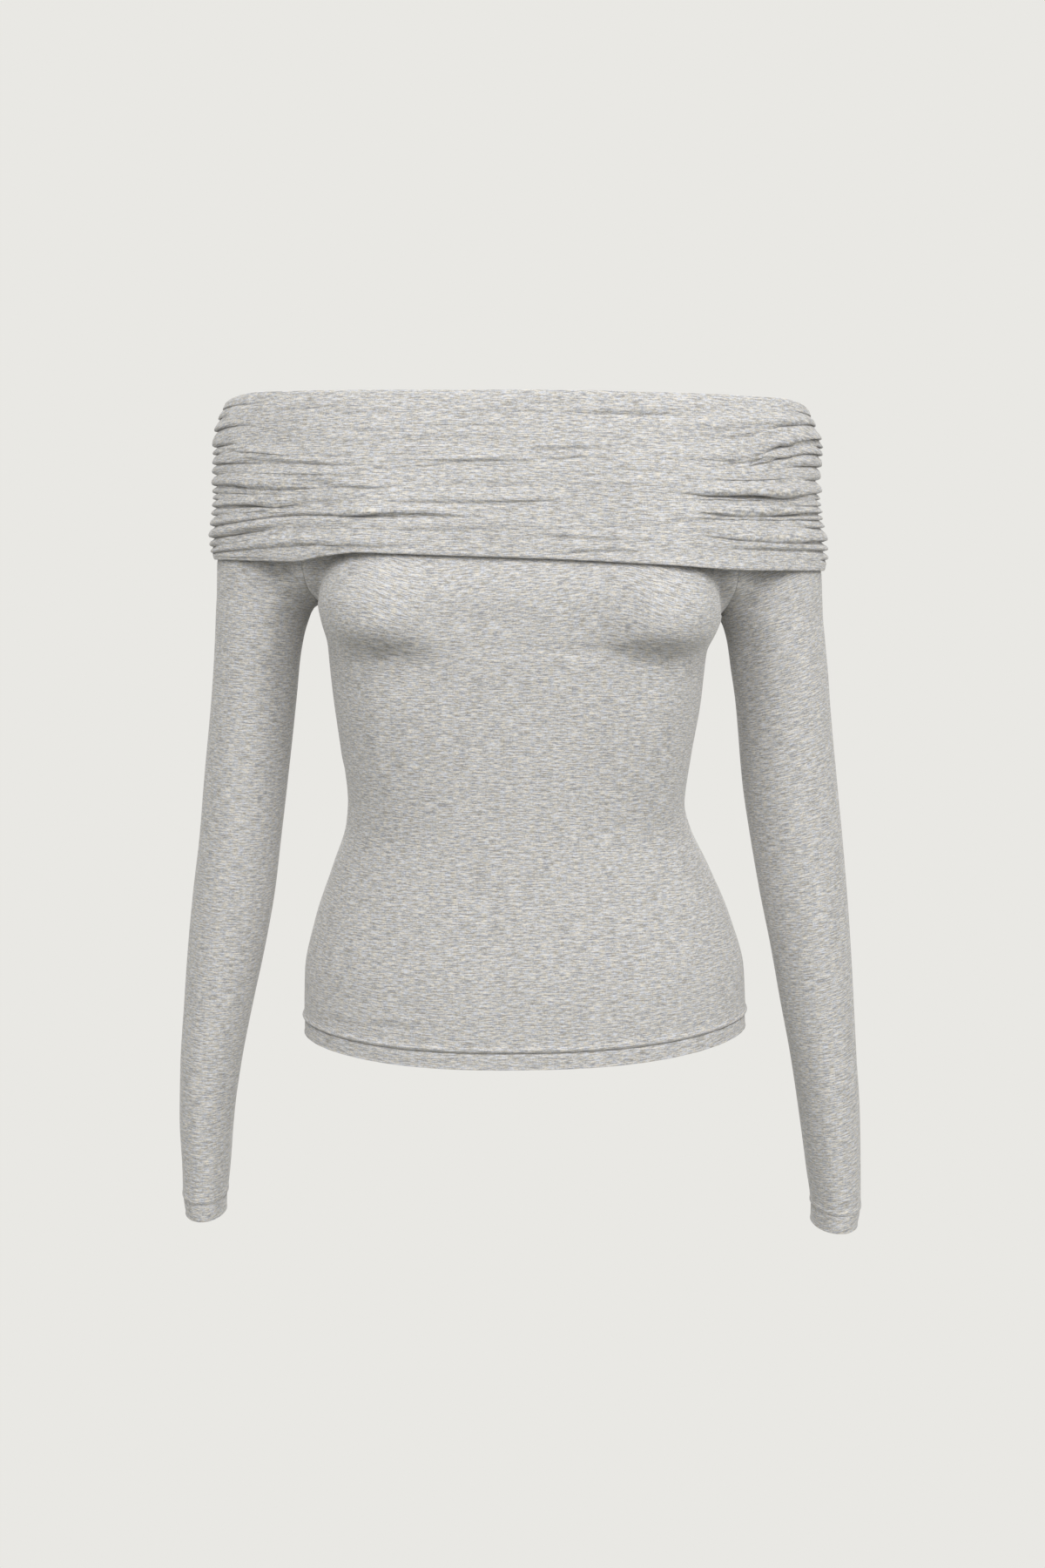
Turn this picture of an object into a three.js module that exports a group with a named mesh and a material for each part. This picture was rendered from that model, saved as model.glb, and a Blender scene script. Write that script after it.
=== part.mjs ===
// Off-shoulder top of heather grey jersey with long sleeves and a wide band turned down over the bust.
// It is filled out as when it is worn, on a general figure, and it is hollow: neck, hem and cuffs are open.
// Millimetres, +Z up, the front faces -Y and the wearer's left is +X. The origin is the middle of the
// neckline seam, where the upper arms and the chest hold the top up.

import * as THREE from 'three';

const JERSEY_WALL = 1.2; // one layer of jersey with its loft
const TURNED_WALL = 2.2; // hem and cuffs, where the jersey is turned up double
const SEAM_GAP = 0.3; // between pieces that are sewn together
const HEM_TURN = 11; // height of the turned hem
const CUFF_TURN = 12; // height of the turned cuffs
const NECKLINE_Z = 0; // the seam of body, sleeves and band
const UNDERARM_Z = -136;
const HEM_Z = -449;
const CUFF_Z = -574;

// The trunk's sections: how far they reach to the wearer's right and left, to the front and to the back.
const TRUNK = [
  { z: 20, right: 139, left: 136, front: 85, back: 84 },
  { z: 0, right: 139, left: 136, front: 90, back: 88 },
  { z: -60, right: 140, left: 137.5, front: 97.5, back: 96 },
  { z: -100, right: 141, left: 138.5, front: 101, back: 98 },
  { z: -136, right: 141, left: 138.5, front: 102, back: 97 },
  { z: -150, right: 138.5, left: 133, front: 101.5, back: 94 },
  { z: -176, right: 136.5, left: 130.3, front: 99, back: 90 },
  { z: -200, right: 134, left: 128, front: 97, back: 86 },
  { z: -240, right: 128.5, left: 121.5, front: 94.5, back: 80 },
  { z: -274, right: 124, left: 117.3, front: 92.5, back: 78 },
  { z: -290, right: 125.3, left: 121, front: 92, back: 80 },
  { z: -320, right: 135, left: 135, front: 92.5, back: 86 },
  { z: -358, right: 148, left: 151, front: 95.5, back: 98 },
  { z: -396, right: 156, left: 161, front: 99.5, back: 107 },
  { z: -449, right: 157, left: 163, front: 102, back: 111 },
];
const TRUNK_SQUARENESS = 2.35; // 2 is an ellipse, more is squarer

// The bust: how far it reaches to the front, half its width, and how much the cloth sinks between its halves.
const BUST_X = 94;
const LEFT_RAISE = 4; // the left half lies this much higher
const BUST_DEPTH = 48;
const BUST = [
  { z: 20, reach: 73, spread: 34, hollow: 0 },
  { z: 0, reach: 82, spread: 37, hollow: 0.5 },
  { z: -30, reach: 90, spread: 40, hollow: 2.5 },
  { z: -60, reach: 96.5, spread: 42, hollow: 5.5 },
  { z: -90, reach: 101, spread: 43, hollow: 8.5 },
  { z: -100, reach: 102.5, spread: 43, hollow: 9.5 },
  { z: -112, reach: 107, spread: 43, hollow: 11 },
  { z: -124, reach: 111.5, spread: 43, hollow: 13 },
  { z: -134, reach: 113.5, spread: 42.5, hollow: 14.8 },
  { z: -142, reach: 114, spread: 41.5, hollow: 15.8 },
  { z: -150, reach: 112.5, spread: 39.5, hollow: 15.5 },
  { z: -156, reach: 109, spread: 36.5, hollow: 12.5 },
  { z: -161, reach: 102.5, spread: 33, hollow: 7 },
  { z: -165, reach: 95.5, spread: 30.5, hollow: 2.6 },
  { z: -169, reach: 90.5, spread: 29, hollow: 0.6 },
  { z: -174, reach: 88, spread: 28, hollow: 0 },
  { z: -190, reach: 86.5, spread: 26, hollow: 0 },
  { z: -200, reach: 86, spread: 25, hollow: 0 },
  { z: -240, reach: 79, spread: 18, hollow: 0 },
  { z: -274, reach: 70, spread: 14, hollow: 0 },
  { z: -300, reach: 60, spread: 12, hollow: 0 },
];
const HOLLOW_FROM = 42; // the hollow is whole this far from the middle
const HOLLOW_TO = 95; // and has died away here

// The upper arms between underarm and neckline: their outer edges. The taut cloth runs round them.
const ARM_WIDTH = 76.5;
const ARMS = [
  { z: 20, right: 202, left: 197 },
  { z: 0, right: 209.5, left: 204.5 },
  { z: -9, right: 212, left: 208.5 },
  { z: -39, right: 213, left: 206.5 },
  { z: -70, right: 214, left: 209.5 },
  { z: -94, right: 215.5, left: 213 },
  { z: -136, right: 216.5, left: 215.5 },
];

// The sleeves below the underarm: outer and inner edge of each, and the section's depth and middle in Y.
const RIGHT_SLEEVE = [
  { z: -136, outer: 216.5, inner: 141 },
  { z: -142, outer: 217, inner: 148.5 },
  { z: -149, outer: 217.4, inner: 151.5 },
  { z: -158, outer: 217.8, inner: 154.5 },
  { z: -176, outer: 218.9, inner: 158 },
  { z: -200, outer: 220.8, inner: 160.5 },
  { z: -260, outer: 227.1, inner: 167.5 },
  { z: -300, outer: 230.8, inner: 172.5 },
  { z: -340, outer: 235.9, inner: 177.5 },
  { z: -380, outer: 240, inner: 185 },
  { z: -420, outer: 243, inner: 194 },
  { z: -460, outer: 245.6, inner: 202 },
  { z: -500, outer: 246.2, inner: 207.5 },
  { z: -540, outer: 244.2, inner: 210.5 },
  { z: -562, outer: 243.7, inner: 212.5 },
  { z: -574, outer: 242, inner: 213 },
];
const LEFT_SLEEVE = [
  { z: -136, outer: 215.5, inner: 138.5 },
  { z: -142, outer: 216.1, inner: 143.5 },
  { z: -149, outer: 216.8, inner: 146 },
  { z: -158, outer: 217.7, inner: 148 },
  { z: -176, outer: 219.5, inner: 150.5 },
  { z: -200, outer: 221.3, inner: 154 },
  { z: -260, outer: 227.2, inner: 159.5 },
  { z: -300, outer: 231.3, inner: 165.5 },
  { z: -340, outer: 234.9, inner: 172.5 },
  { z: -380, outer: 237.8, inner: 180.5 },
  { z: -420, outer: 240.1, inner: 187.5 },
  { z: -460, outer: 242.2, inner: 195 },
  { z: -500, outer: 244.8, inner: 201.3 },
  { z: -540, outer: 245.5, inner: 207 },
  { z: -562, outer: 245.6, inner: 210 },
  { z: -574, outer: 243.5, inner: 209.8 },
];
const SLEEVE_DEPTH = [
  { z: 20, half: 44, middle: 0 },
  { z: -136, half: 46, middle: 0 },
  { z: -230, half: 44, middle: -1 },
  { z: -300, half: 42, middle: -3 },
  { z: -360, half: 40, middle: -6 },
  { z: -420, half: 37.5, middle: -10 },
  { z: -480, half: 35.5, middle: -15 },
  { z: -540, half: 34, middle: -20 },
  { z: -574, half: 33, middle: -23 },
];

// The top doesn't hang quite level: each height sinks by this much for each millimetre towards the left,
// and the neckline dips on the outside of the upper arms.
const LEAN = [
  { z: 20, sink: 0.011 },
  { z: -60, sink: 0.013 },
  { z: -105, sink: 0.018 },
  { z: -136, sink: 0.033 },
  { z: -180, sink: 0.022 },
  { z: -260, sink: 0.01 },
  { z: -350, sink: 0 },
  { z: -449, sink: -0.012 },
  { z: -520, sink: 0 },
  { z: -574, sink: 0.019 },
];
const NECK_DIP = { right: { from: 175, to: 211, drop: 6 }, left: { from: 176, to: 209, drop: 8 } };
const DIP_TOP = -5; // above this height the dip is whole
const DIP_END = -50; // and below this one there is none

// The armhole seam: from the underarm it opens to this place on the taut loop, then runs to the neckline.
const ARMHOLE_RISE = 75;
const ARMHOLE_STEPS = 6;
const ARMHOLE_EASE = 75; // distance from the seam at which its steep rise has died away
const ARMHOLE = [
  { z: 0, x: 138 },
  { z: -61, x: 149 },
  { z: -136, x: 153 },
];

const BODY_ROWS = [
  -449, -438, -431, -424.5, -418, -404, -386, -367, -349, -331, -314, -298, -283, -268, -250, -230, -210,
  -194, -182, -172, -163, -154, -145,
];
const SLEEVE_ROWS = [
  -574, -562, -548, -528, -502, -475, -445, -415, -385, -355, -325, -295, -265, -235, -208, -186, -170, -158,
  -149, -142,
];
const NECK_ROWS = [-30, 0]; // above the armhole's curve
const FRONT_COLUMNS = 22;
const BACK_COLUMNS = 16;
const SLEEVE_COLUMNS = 14;

// The hem rises towards the side seams, by this much at this distance from the middle.
const HEM_RISE = { by: 8.8, at: 150, power: 2.5, from: -380 };

// A soft fold over the hem on the wearer's right, which fades towards the middle front.
const HEM_FOLD = { z: -424.5, half: 6, depth: 1.8, from: -157, to: -40 };

// The band, folded double. Clearances are measured outwards from the taut loop.
const TUCK = 1; // body and sleeves lie this far inside the loop where the band covers them
const TUCK_FROM = -114;
const TUCK_TO = -98;
const BAND_INSIDE = 1;
const BAND_OUTSIDE = 3.3;
const BAND_TOP = 11.6;
const BAND_ROLL = 3; // height of the rounded top edge
const BAND_LIP = -2.2; // inner face of the top edge, over the neckline seam
const DIP_CLEARANCE = 0.4; // more room over the neckline seam where it dips, beyond the armholes
const DIP_CLEARANCE_RUN = 30;
const BAND_FOOT = 2.4; // height of the rounded lower fold
const BAND_CORNER = { lift: 4.5, length: 15 }; // the lower fold rises at the side seams
const BAND_MIDDLE = -48; // the height at which lengths along the band are measured
const BAND_COLUMNS = 28;
const BAND_CROWDING = 1.35; // above 1 the columns crowd towards the side seams
const BAND_BACKING_ROWS = [-72, -36];
const FRONT_LOWER_EDGE = [
  { x: -212, z: -105.6 },
  { x: -155, z: -105.4 },
  { x: -130, z: -101 },
  { x: -106, z: -98.2 },
  { x: -58, z: -99 },
  { x: 13, z: -100.2 },
  { x: 96, z: -103 },
  { x: 151, z: -105.7 },
  { x: 212, z: -105.8 },
];
const BACK_LOWER_EDGE = [
  { x: -212, z: -105.6 },
  { x: -120, z: -103.5 },
  { x: -30, z: -101.5 },
  { x: 70, z: -102.5 },
  { x: 150, z: -104.8 },
  { x: 212, z: -105.8 },
];

// The gathers at each side seam of the band, top to bottom: height at the seam and where they fade,
// length, and depth.
const RIGHT_GATHERS = [
  { at: 6.5, end: -0.5, length: 60, depth: 0.9 },
  { at: 0.5, end: -8, length: 30, depth: 1.1 },
  { at: -7, end: -15.5, length: 56, depth: 1.8 },
  { at: -20, end: -30, length: 46, depth: 1.8 },
  { at: -27, end: -34, length: 26, depth: 1.3 },
  { at: -36, end: -39, length: 84, depth: 1.8 },
  { at: -44.5, end: -46.5, length: 26, depth: 1.4 },
  { at: -52.5, end: -55, length: 118, depth: 2.1 },
  { at: -58, end: -59, length: 24, depth: 1.3 },
  { at: -62.5, end: -62.5, length: 26, depth: 1.3 },
  { at: -68, end: -66.5, length: 94, depth: 2.1 },
  { at: -74, end: -69.8, length: 26, depth: 1.4 },
  { at: -81.5, end: -73, length: 205, depth: 2.5 },
  { at: -90, end: -82, length: 78, depth: 2.3 },
  { at: -96.5, end: -88, length: 28, depth: 1.5 },
  { at: -101, end: -93.5, length: 128, depth: 1.9 },
];
const LEFT_GATHERS = [
  { at: 7, end: -4, length: 54, depth: 1.3 },
  { at: 1.5, end: -16, length: 88, depth: 1.4 },
  { at: -5.5, end: -33, length: 112, depth: 2.4 },
  { at: -12, end: -35.5, length: 24, depth: 1.4 },
  { at: -19, end: -38, length: 112, depth: 1.9 },
  { at: -31, end: -42, length: 54, depth: 1.9 },
  { at: -43, end: -47, length: 40, depth: 1.9 },
  { at: -52.5, end: -55.5, length: 152, depth: 2.5 },
  { at: -57, end: -59, length: 24, depth: 1.4 },
  { at: -61.5, end: -62.5, length: 70, depth: 1.9 },
  { at: -66.5, end: -67.5, length: 118, depth: 2.4 },
  { at: -71, end: -72, length: 54, depth: 1.7 },
  { at: -76.5, end: -77, length: 48, depth: 1.9 },
  { at: -86, end: -84, length: 118, depth: 2.4 },
  { at: -92.5, end: -92.3, length: 42, depth: 1.7 },
  { at: -98.5, end: -99, length: 26, depth: 1.5 },
];
const GATHER_DRIFT = 110; // distance from the seam over which a gather drifts to its end height
const LAST_GATHER = 1.2; // the last one stays this far above the lower fold
const GATHER_ROOM = 2.2; // and those above it this far apart, at least
const GATHER_SHAPE = [-0.5, 0.85, 0.95]; // valley and the two rows of the rounded ridge below it
const GATHER_LIMIT = 0.45; // share of the room to the next gather that its depth may take
const BACK_SHIFT = 5; // the back's gathers take their lengths and depths this many rows further on

const HEATHER_GREY = 0xc3c2be;

const CONTOUR_STEPS = 240;
const CLOSE_BY = 0.5; // distance to each side of a place at which a contour's direction is taken
const SAME_PLACE = 1e-4;
const HULL_SOFTNESS = 12; // how softly the cloth leaves one form and bridges to the next

const smooth = (t) => {
  const u = Math.min(1, Math.max(0, t));
  return u * u * (3 - 2 * u);
};
const mix = (a, b, t) => a + (b - a) * t;

// Reads a named column of a table at a place on its key column, along a curve that never overshoots.
function read(table, column, place, key = 'z') {
  const up = table[0][key] < table[table.length - 1][key];
  const rows = up ? table : [...table].reverse();
  const last = rows.length - 1;
  if (place <= rows[0][key]) return rows[0][column];
  if (place >= rows[last][key]) return rows[last][column];
  const slope = (k) => (rows[k + 1][column] - rows[k][column]) / (rows[k + 1][key] - rows[k][key]);
  const tangent = (k) => {
    if (k === 0) return slope(0);
    if (k === last) return slope(last - 1);
    const before = slope(k - 1);
    const after = slope(k);
    return before * after > 0 ? (2 * before * after) / (before + after) : 0;
  };
  const k = rows.findIndex((row, index) => index < last && place < rows[index + 1][key]);
  const span = rows[k + 1][key] - rows[k][key];
  const t = (place - rows[k][key]) / span;
  const hermite = {
    start: 2 * t ** 3 - 3 * t ** 2 + 1,
    rise: t ** 3 - 2 * t ** 2 + t,
    end: 3 * t ** 2 - 2 * t ** 3,
    fall: t ** 3 - t ** 2,
  };
  return hermite.start * rows[k][column] + hermite.rise * span * tangent(k)
    + hermite.end * rows[k + 1][column] + hermite.fall * span * tangent(k + 1);
}

// How far a form reaches in a direction. The dual exponent makes squareness 2 an ellipse.
function support(form, angle) {
  const dual = form.squareness / (form.squareness - 1);
  const depth = Math.sin(angle) < 0 ? form.front : form.back;
  const across = (form.halfX * Math.abs(Math.cos(angle))) ** dual;
  const deep = (depth * Math.abs(Math.sin(angle))) ** dual;
  return form.x * Math.cos(angle) + form.y * Math.sin(angle) + (across + deep) ** (1 / dual);
}

// The smaller hump that joins two reaches is at most a quarter of the softness high.
function softMax(a, b) {
  const near = Math.max(0, HULL_SOFTNESS - Math.abs(a - b));
  return Math.max(a, b) + near ** 2 / (4 * HULL_SOFTNESS);
}

// The taut contour round some forms, counterclockwise from the middle of the back: the wearer's right
// side, the front, the left side and the back again.
function contour(forms) {
  const reach = (angle) => forms.map((form) => support(form, angle)).reduce(softMax);
  const nudge = Math.PI / CONTOUR_STEPS;
  const points = [];
  for (let k = 0; k <= CONTOUR_STEPS; k += 1) {
    const angle = Math.PI / 2 + (2 * Math.PI * k) / CONTOUR_STEPS;
    const h = reach(angle);
    const turn = (reach(angle + nudge) - reach(angle - nudge)) / (2 * nudge);
    points.push(new THREE.Vector2(
      h * Math.cos(angle) - turn * Math.sin(angle),
      h * Math.sin(angle) + turn * Math.cos(angle),
    ));
  }
  points[CONTOUR_STEPS].copy(points[0]);
  return measured(points, forms[0].y);
}

// Adds to a closed contour the length run up to each of its points, and where its two halves begin: the
// front half at the side seam on the right, the back half at the one on the left.
function measured(points, side) {
  const run = [0];
  for (let k = 1; k < points.length; k += 1) run.push(run[k - 1] + points[k].distanceTo(points[k - 1]));
  const line = { points, run, length: run[run.length - 1] };
  for (let k = 1; k < points.length; k += 1) {
    const before = points[k - 1].y - side;
    const after = points[k].y - side;
    if (before > 0 && after <= 0) line.right = mix(run[k - 1], run[k], before / (before - after));
    if (before < 0 && after >= 0) line.left = mix(run[k - 1], run[k], before / (before - after));
  }
  line.half = {
    front: { start: line.right, end: line.left },
    back: { start: line.left, end: line.right + line.length },
  };
  return line;
}

function pointAt(line, place) {
  const s = ((place % line.length) + line.length) % line.length;
  let k = 1;
  while (k < line.run.length - 1 && line.run[k] < s) k += 1;
  const t = (s - line.run[k - 1]) / (line.run[k] - line.run[k - 1]);
  return line.points[k - 1].clone().lerp(line.points[k], t);
}

function stretch(line, from, to, columns) {
  return Array.from({ length: columns + 1 }, (_, c) => pointAt(line, mix(from, to, c / columns)));
}

// The place on the front or back half of a contour where it crosses a given x.
function crossing(line, x, half) {
  for (let k = 1; k < line.points.length; k += 1) {
    const onFront = line.points[k].y < 0;
    const before = line.points[k - 1].x - x;
    const after = line.points[k].x - x;
    if (onFront === (half === 'front') && before * after <= 0 && before !== after) {
      const place = mix(line.run[k - 1], line.run[k], before / (before - after));
      return place < line.half[half].start ? place + line.length : place;
    }
  }
  throw new Error(`no crossing at x = ${x}`);
}

// The outward direction at a place on a contour.
function outwardAt(line, place) {
  const before = pointAt(line, place - CLOSE_BY);
  const after = pointAt(line, place + CLOSE_BY);
  return new THREE.Vector2(after.y - before.y, before.x - after.x).normalize();
}

const oval = (x, y, halfX, depth) => ({ x, y, halfX, front: depth, back: depth, squareness: 2 });

function trunkForms(z) {
  const right = read(TRUNK, 'right', z);
  const left = read(TRUNK, 'left', z);
  const front = read(TRUNK, 'front', z);
  const back = read(TRUNK, 'back', z);
  const trunk = {
    x: (left - right) / 2,
    y: 0,
    halfX: (left + right) / 2,
    front,
    back,
    squareness: TRUNK_SQUARENESS,
  };
  const bust = [-BUST_X, BUST_X].map((x) => {
    const height = x > 0 ? z - LEFT_RAISE : z;
    return oval(x, BUST_DEPTH - read(BUST, 'reach', height), read(BUST, 'spread', height), BUST_DEPTH);
  });
  return [trunk, ...bust];
}

// An arm's or a sleeve's section between its outer and inner edges.
function limb(side, outer, inner, z) {
  const middle = read(SLEEVE_DEPTH, 'middle', z);
  return oval((side * (outer + inner)) / 2, middle, (outer - inner) / 2, read(SLEEVE_DEPTH, 'half', z));
}

function armForm(side, z, inner) {
  const outer = read(ARMS, side < 0 ? 'right' : 'left', z);
  return limb(side, outer, inner ?? outer - ARM_WIDTH, z);
}

function sleeveForm(side, z) {
  const table = side < 0 ? RIGHT_SLEEVE : LEFT_SLEEVE;
  return limb(side, read(table, 'outer', z), read(table, 'inner', z), z);
}

const torsoContour = (z) => contour(trunkForms(z));
const tautLoop = (z) => contour([...trunkForms(z), armForm(-1, z), armForm(1, z)]);

// The outward direction at each point of a run of points. A closed run meets itself at its ends. At a
// free end a given direction takes over by its weight, so that both sides of a seam lie the same way.
function outwards(points, { closed = false, first, last, weight = 1 }) {
  const end = points.length - 1;
  return points.map((point, k) => {
    const before = k > 0 ? points[k - 1] : points[closed ? end - 1 : 0];
    const after = k < end ? points[k + 1] : points[closed ? 1 : end];
    const own = new THREE.Vector2(after.y - before.y, before.x - after.x).normalize();
    if (k === 0 && first) own.lerp(first, weight).normalize();
    if (k === end && last) own.lerp(last, weight).normalize();
    return own;
  });
}

const moved = (points, directions, distances) => (
  points.map((point, k) => point.clone().addScaledVector(directions[k], distances[k]))
);

// The whole top's lean, neckline dip and the hollow between the halves of the bust, at one point.
function settle(x, y, z) {
  const dip = x < 0 ? NECK_DIP.right : NECK_DIP.left;
  const sideways = Math.max(0, (Math.abs(x) - dip.from) / (dip.to - dip.from)) ** 2;
  const high = smooth((z - DIP_END) / (DIP_TOP - DIP_END));
  const between = 1 - smooth((Math.abs(x) - HOLLOW_FROM) / (HOLLOW_TO - HOLLOW_FROM));
  const hollow = y < 0 ? read(BUST, 'hollow', z) * between : 0;
  return [x, y + hollow, z - read(LEAN, 'sink', z) * x - dip.drop * sideways * high];
}

const ARMHOLE_ROWS = Array.from({ length: ARMHOLE_STEPS + 1 }, (_, k) => {
  const turn = ((Math.PI / 2) * k) / ARMHOLE_STEPS;
  return { z: UNDERARM_Z + ARMHOLE_RISE * (1 - Math.cos(turn)), open: Math.sin(turn) };
});
const UPPER_ROWS = [...ARMHOLE_ROWS, ...NECK_ROWS.map((z) => ({ z, open: 1 }))];

// How far each point of a row has left its own form for the taut loop. At the armholes the crease rises
// steeply from the underarm, as a rounded crotch does, and away from them the cloth leaves it slowly.
function openings(points, z, open) {
  const slow = smooth((z - UNDERARM_Z) / ARMHOLE_RISE);
  const run = [0];
  for (let k = 1; k < points.length; k += 1) run.push(run[k - 1] + points[k].distanceTo(points[k - 1]));
  const length = run[run.length - 1];
  return run.map((s) => mix(open, slow, smooth(Math.min(s, length - s) / ARMHOLE_EASE)));
}

const tuck = (z) => -TUCK * smooth((z - TUCK_FROM) / (TUCK_TO - TUCK_FROM));

// One row of a wall: its outer points and its inner ones. Each pair of points may rise above the row.
function wallRow(points, z, wall, ends, lift = 0, rises = []) {
  const lifts = Array.isArray(lift) ? lift : points.map(() => lift);
  const outer = moved(points, outwards(points, { ...ends, weight: 1 }), lifts);
  const inner = moved(outer, outwards(points, ends), points.map(() => -wall));
  const atRest = (p, k) => new THREE.Vector3(...settle(p.x, p.y, z + (rises[k] ?? 0)));
  return { outer: outer.map(atRest), inner: inner.map(atRest) };
}

function bodyWall(z) {
  return z <= HEM_Z + HEM_TURN ? TURNED_WALL : JERSEY_WALL;
}

// How far the body's rows near the hem have risen at one point.
function hemRise(x, z) {
  const near = smooth((HEM_RISE.from - z) / (HEM_RISE.from - HEM_Z));
  return HEM_RISE.by * (Math.abs(x) / HEM_RISE.at) ** HEM_RISE.power * near;
}

// Depth of the fold over the hem at one point of the front.
function hemFold(x, z) {
  const beside = smooth(1 - Math.abs(z - HEM_FOLD.z) / HEM_FOLD.half);
  const along = 1 - smooth((x - HEM_FOLD.from) / (HEM_FOLD.to - HEM_FOLD.from));
  return -HEM_FOLD.depth * beside * along;
}

// The front or back panel: rows from the hem to the neckline. Its ends stand half a seam gap back.
function panelRows(half, columns) {
  const front = half === 'front';
  const apart = (front ? -1 : 1) * (SEAM_GAP / 2);
  const across = (ring) => stretch(ring, ring.half[half].start, ring.half[half].end, columns);
  const towardsLeft = front ? 1 : -1;
  const sideSeams = { first: new THREE.Vector2(-towardsLeft, 0), last: new THREE.Vector2(towardsLeft, 0) };
  const rows = BODY_ROWS.map((z) => {
    const points = across(torsoContour(z));
    points[0].y = apart;
    points[columns].y = apart;
    const lift = points.map((p) => (front ? hemFold(p.x, z) : 0));
    return wallRow(points, z, bodyWall(z), sideSeams, lift, points.map((p) => hemRise(p.x, z)));
  });
  for (const { z, open } of UPPER_ROWS) {
    const loop = tautLoop(z);
    const seam = read(ARMHOLE, 'x', z);
    const start = crossing(loop, -towardsLeft * seam, half);
    const end = crossing(loop, towardsLeft * seam, half);
    const taut = stretch(loop, start, end, columns);
    const whole = across(torsoContour(z));
    const opened = openings(whole, z, open);
    const points = whole.map((p, c) => p.lerp(taut[c], opened[c]));
    points[0].x += towardsLeft * (SEAM_GAP / 2);
    points[columns].x -= towardsLeft * (SEAM_GAP / 2);
    if (open === 0) {
      points[0].y = apart;
      points[columns].y = apart;
    }
    const armholes = { first: outwardAt(loop, start), last: outwardAt(loop, end), weight: open };
    rows.push(wallRow(points, z, JERSEY_WALL, open === 0 ? sideSeams : armholes, tuck(z)));
  }
  return rows;
}

// A sleeve: closed rings from the cuff to the underarm, then open round the top of the arm.
function sleeveRows(side) {
  const columns = SLEEVE_COLUMNS;
  const ringAt = (form) => {
    const ring = contour([form]);
    const start = side > 0 ? ring.right : ring.left;
    const points = stretch(ring, start, start + ring.length, columns);
    points[columns].copy(points[0]);
    return points;
  };
  const rows = SLEEVE_ROWS.map((z) => {
    const wall = z <= CUFF_Z + CUFF_TURN ? TURNED_WALL : JERSEY_WALL;
    return wallRow(ringAt(sleeveForm(side, z)), z, wall, { closed: true });
  });
  for (const { z, open } of UPPER_ROWS) {
    const trunk = torsoContour(z);
    const inner = Math.abs(pointAt(trunk, side < 0 ? trunk.right : trunk.left).x);
    const loop = tautLoop(z);
    const seam = side * read(ARMHOLE, 'x', z);
    const front = crossing(loop, seam, 'front');
    const back = crossing(loop, seam, 'back');
    const start = side > 0 ? front : back;
    const end = side > 0 ? back : front + loop.length;
    const taut = stretch(loop, start, end, columns);
    const ring = ringAt(armForm(side, z, inner));
    const opened = openings(ring, z, open);
    const points = ring.map((p, c) => p.lerp(taut[c], opened[c]));
    points[0].x += side * (SEAM_GAP / 2);
    points[columns].x += side * (SEAM_GAP / 2);
    const armholes = { first: outwardAt(loop, start), last: outwardAt(loop, end), weight: open };
    rows.push(wallRow(points, z, JERSEY_WALL, open === 0 ? { closed: true } : armholes, tuck(z)));
  }
  return rows;
}

// Collects triangles between points and makes one geometry of them.
class Surface {
  constructor() {
    this.coordinates = [];
  }

  triangle(a, b, c) {
    if ([a.distanceTo(b), b.distanceTo(c), c.distanceTo(a)].some((edge) => edge < SAME_PLACE)) return;
    for (const p of [a, b, c]) this.coordinates.push(p.x, p.y, p.z);
  }

  quad(a, b, c, d, alongAC = a.distanceTo(c) <= b.distanceTo(d)) {
    if (alongAC) {
      this.triangle(a, b, c);
      this.triangle(a, c, d);
    } else {
      this.triangle(a, b, d);
      this.triangle(b, c, d);
    }
  }

  // Fills the space between two runs of points that start and end beside each other.
  strip(left, right) {
    let i = 0;
    let j = 0;
    while (i < left.length - 1 || j < right.length - 1) {
      const canLeft = i < left.length - 1;
      const canRight = j < right.length - 1;
      const leftNext = canLeft ? left[i + 1].distanceTo(right[j]) : Infinity;
      const rightNext = canRight ? right[j + 1].distanceTo(left[i]) : Infinity;
      if (leftNext <= rightNext) {
        this.triangle(left[i], right[j], left[i + 1]);
        i += 1;
      } else {
        this.triangle(left[i], right[j], right[j + 1]);
        j += 1;
      }
    }
  }

  geometry() {
    const geometry = new THREE.BufferGeometry();
    geometry.setAttribute('position', new THREE.Float32BufferAttribute(this.coordinates, 3));
    geometry.computeVertexNormals();
    return geometry;
  }
}

// A wall from its rows. From the row openFrom upwards its first and last columns are free edges.
function wallGeometry(rows, openFrom) {
  const surface = new Surface();
  const columns = rows[0].outer.length - 1;
  const top = rows.length - 1;
  for (let r = 0; r < top; r += 1) {
    const low = rows[r];
    const high = rows[r + 1];
    for (let c = 0; c < columns; c += 1) {
      const short = low.outer[c].distanceTo(high.outer[c + 1]) <= low.outer[c + 1].distanceTo(high.outer[c]);
      surface.quad(low.outer[c], low.outer[c + 1], high.outer[c + 1], high.outer[c], short);
      surface.quad(low.inner[c + 1], low.inner[c], high.inner[c], high.inner[c + 1], !short);
    }
    if (r >= openFrom) {
      surface.quad(low.inner[0], low.outer[0], high.outer[0], high.inner[0], true);
      surface.quad(low.outer[columns], low.inner[columns], high.inner[columns], high.outer[columns], false);
    }
  }
  for (let c = 0; c < columns; c += 1) {
    const [low, high] = [rows[0], rows[top]];
    surface.quad(low.inner[c], low.inner[c + 1], low.outer[c + 1], low.outer[c]);
    surface.quad(high.outer[c], high.outer[c + 1], high.inner[c + 1], high.inner[c]);
  }
  return surface.geometry();
}

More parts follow.
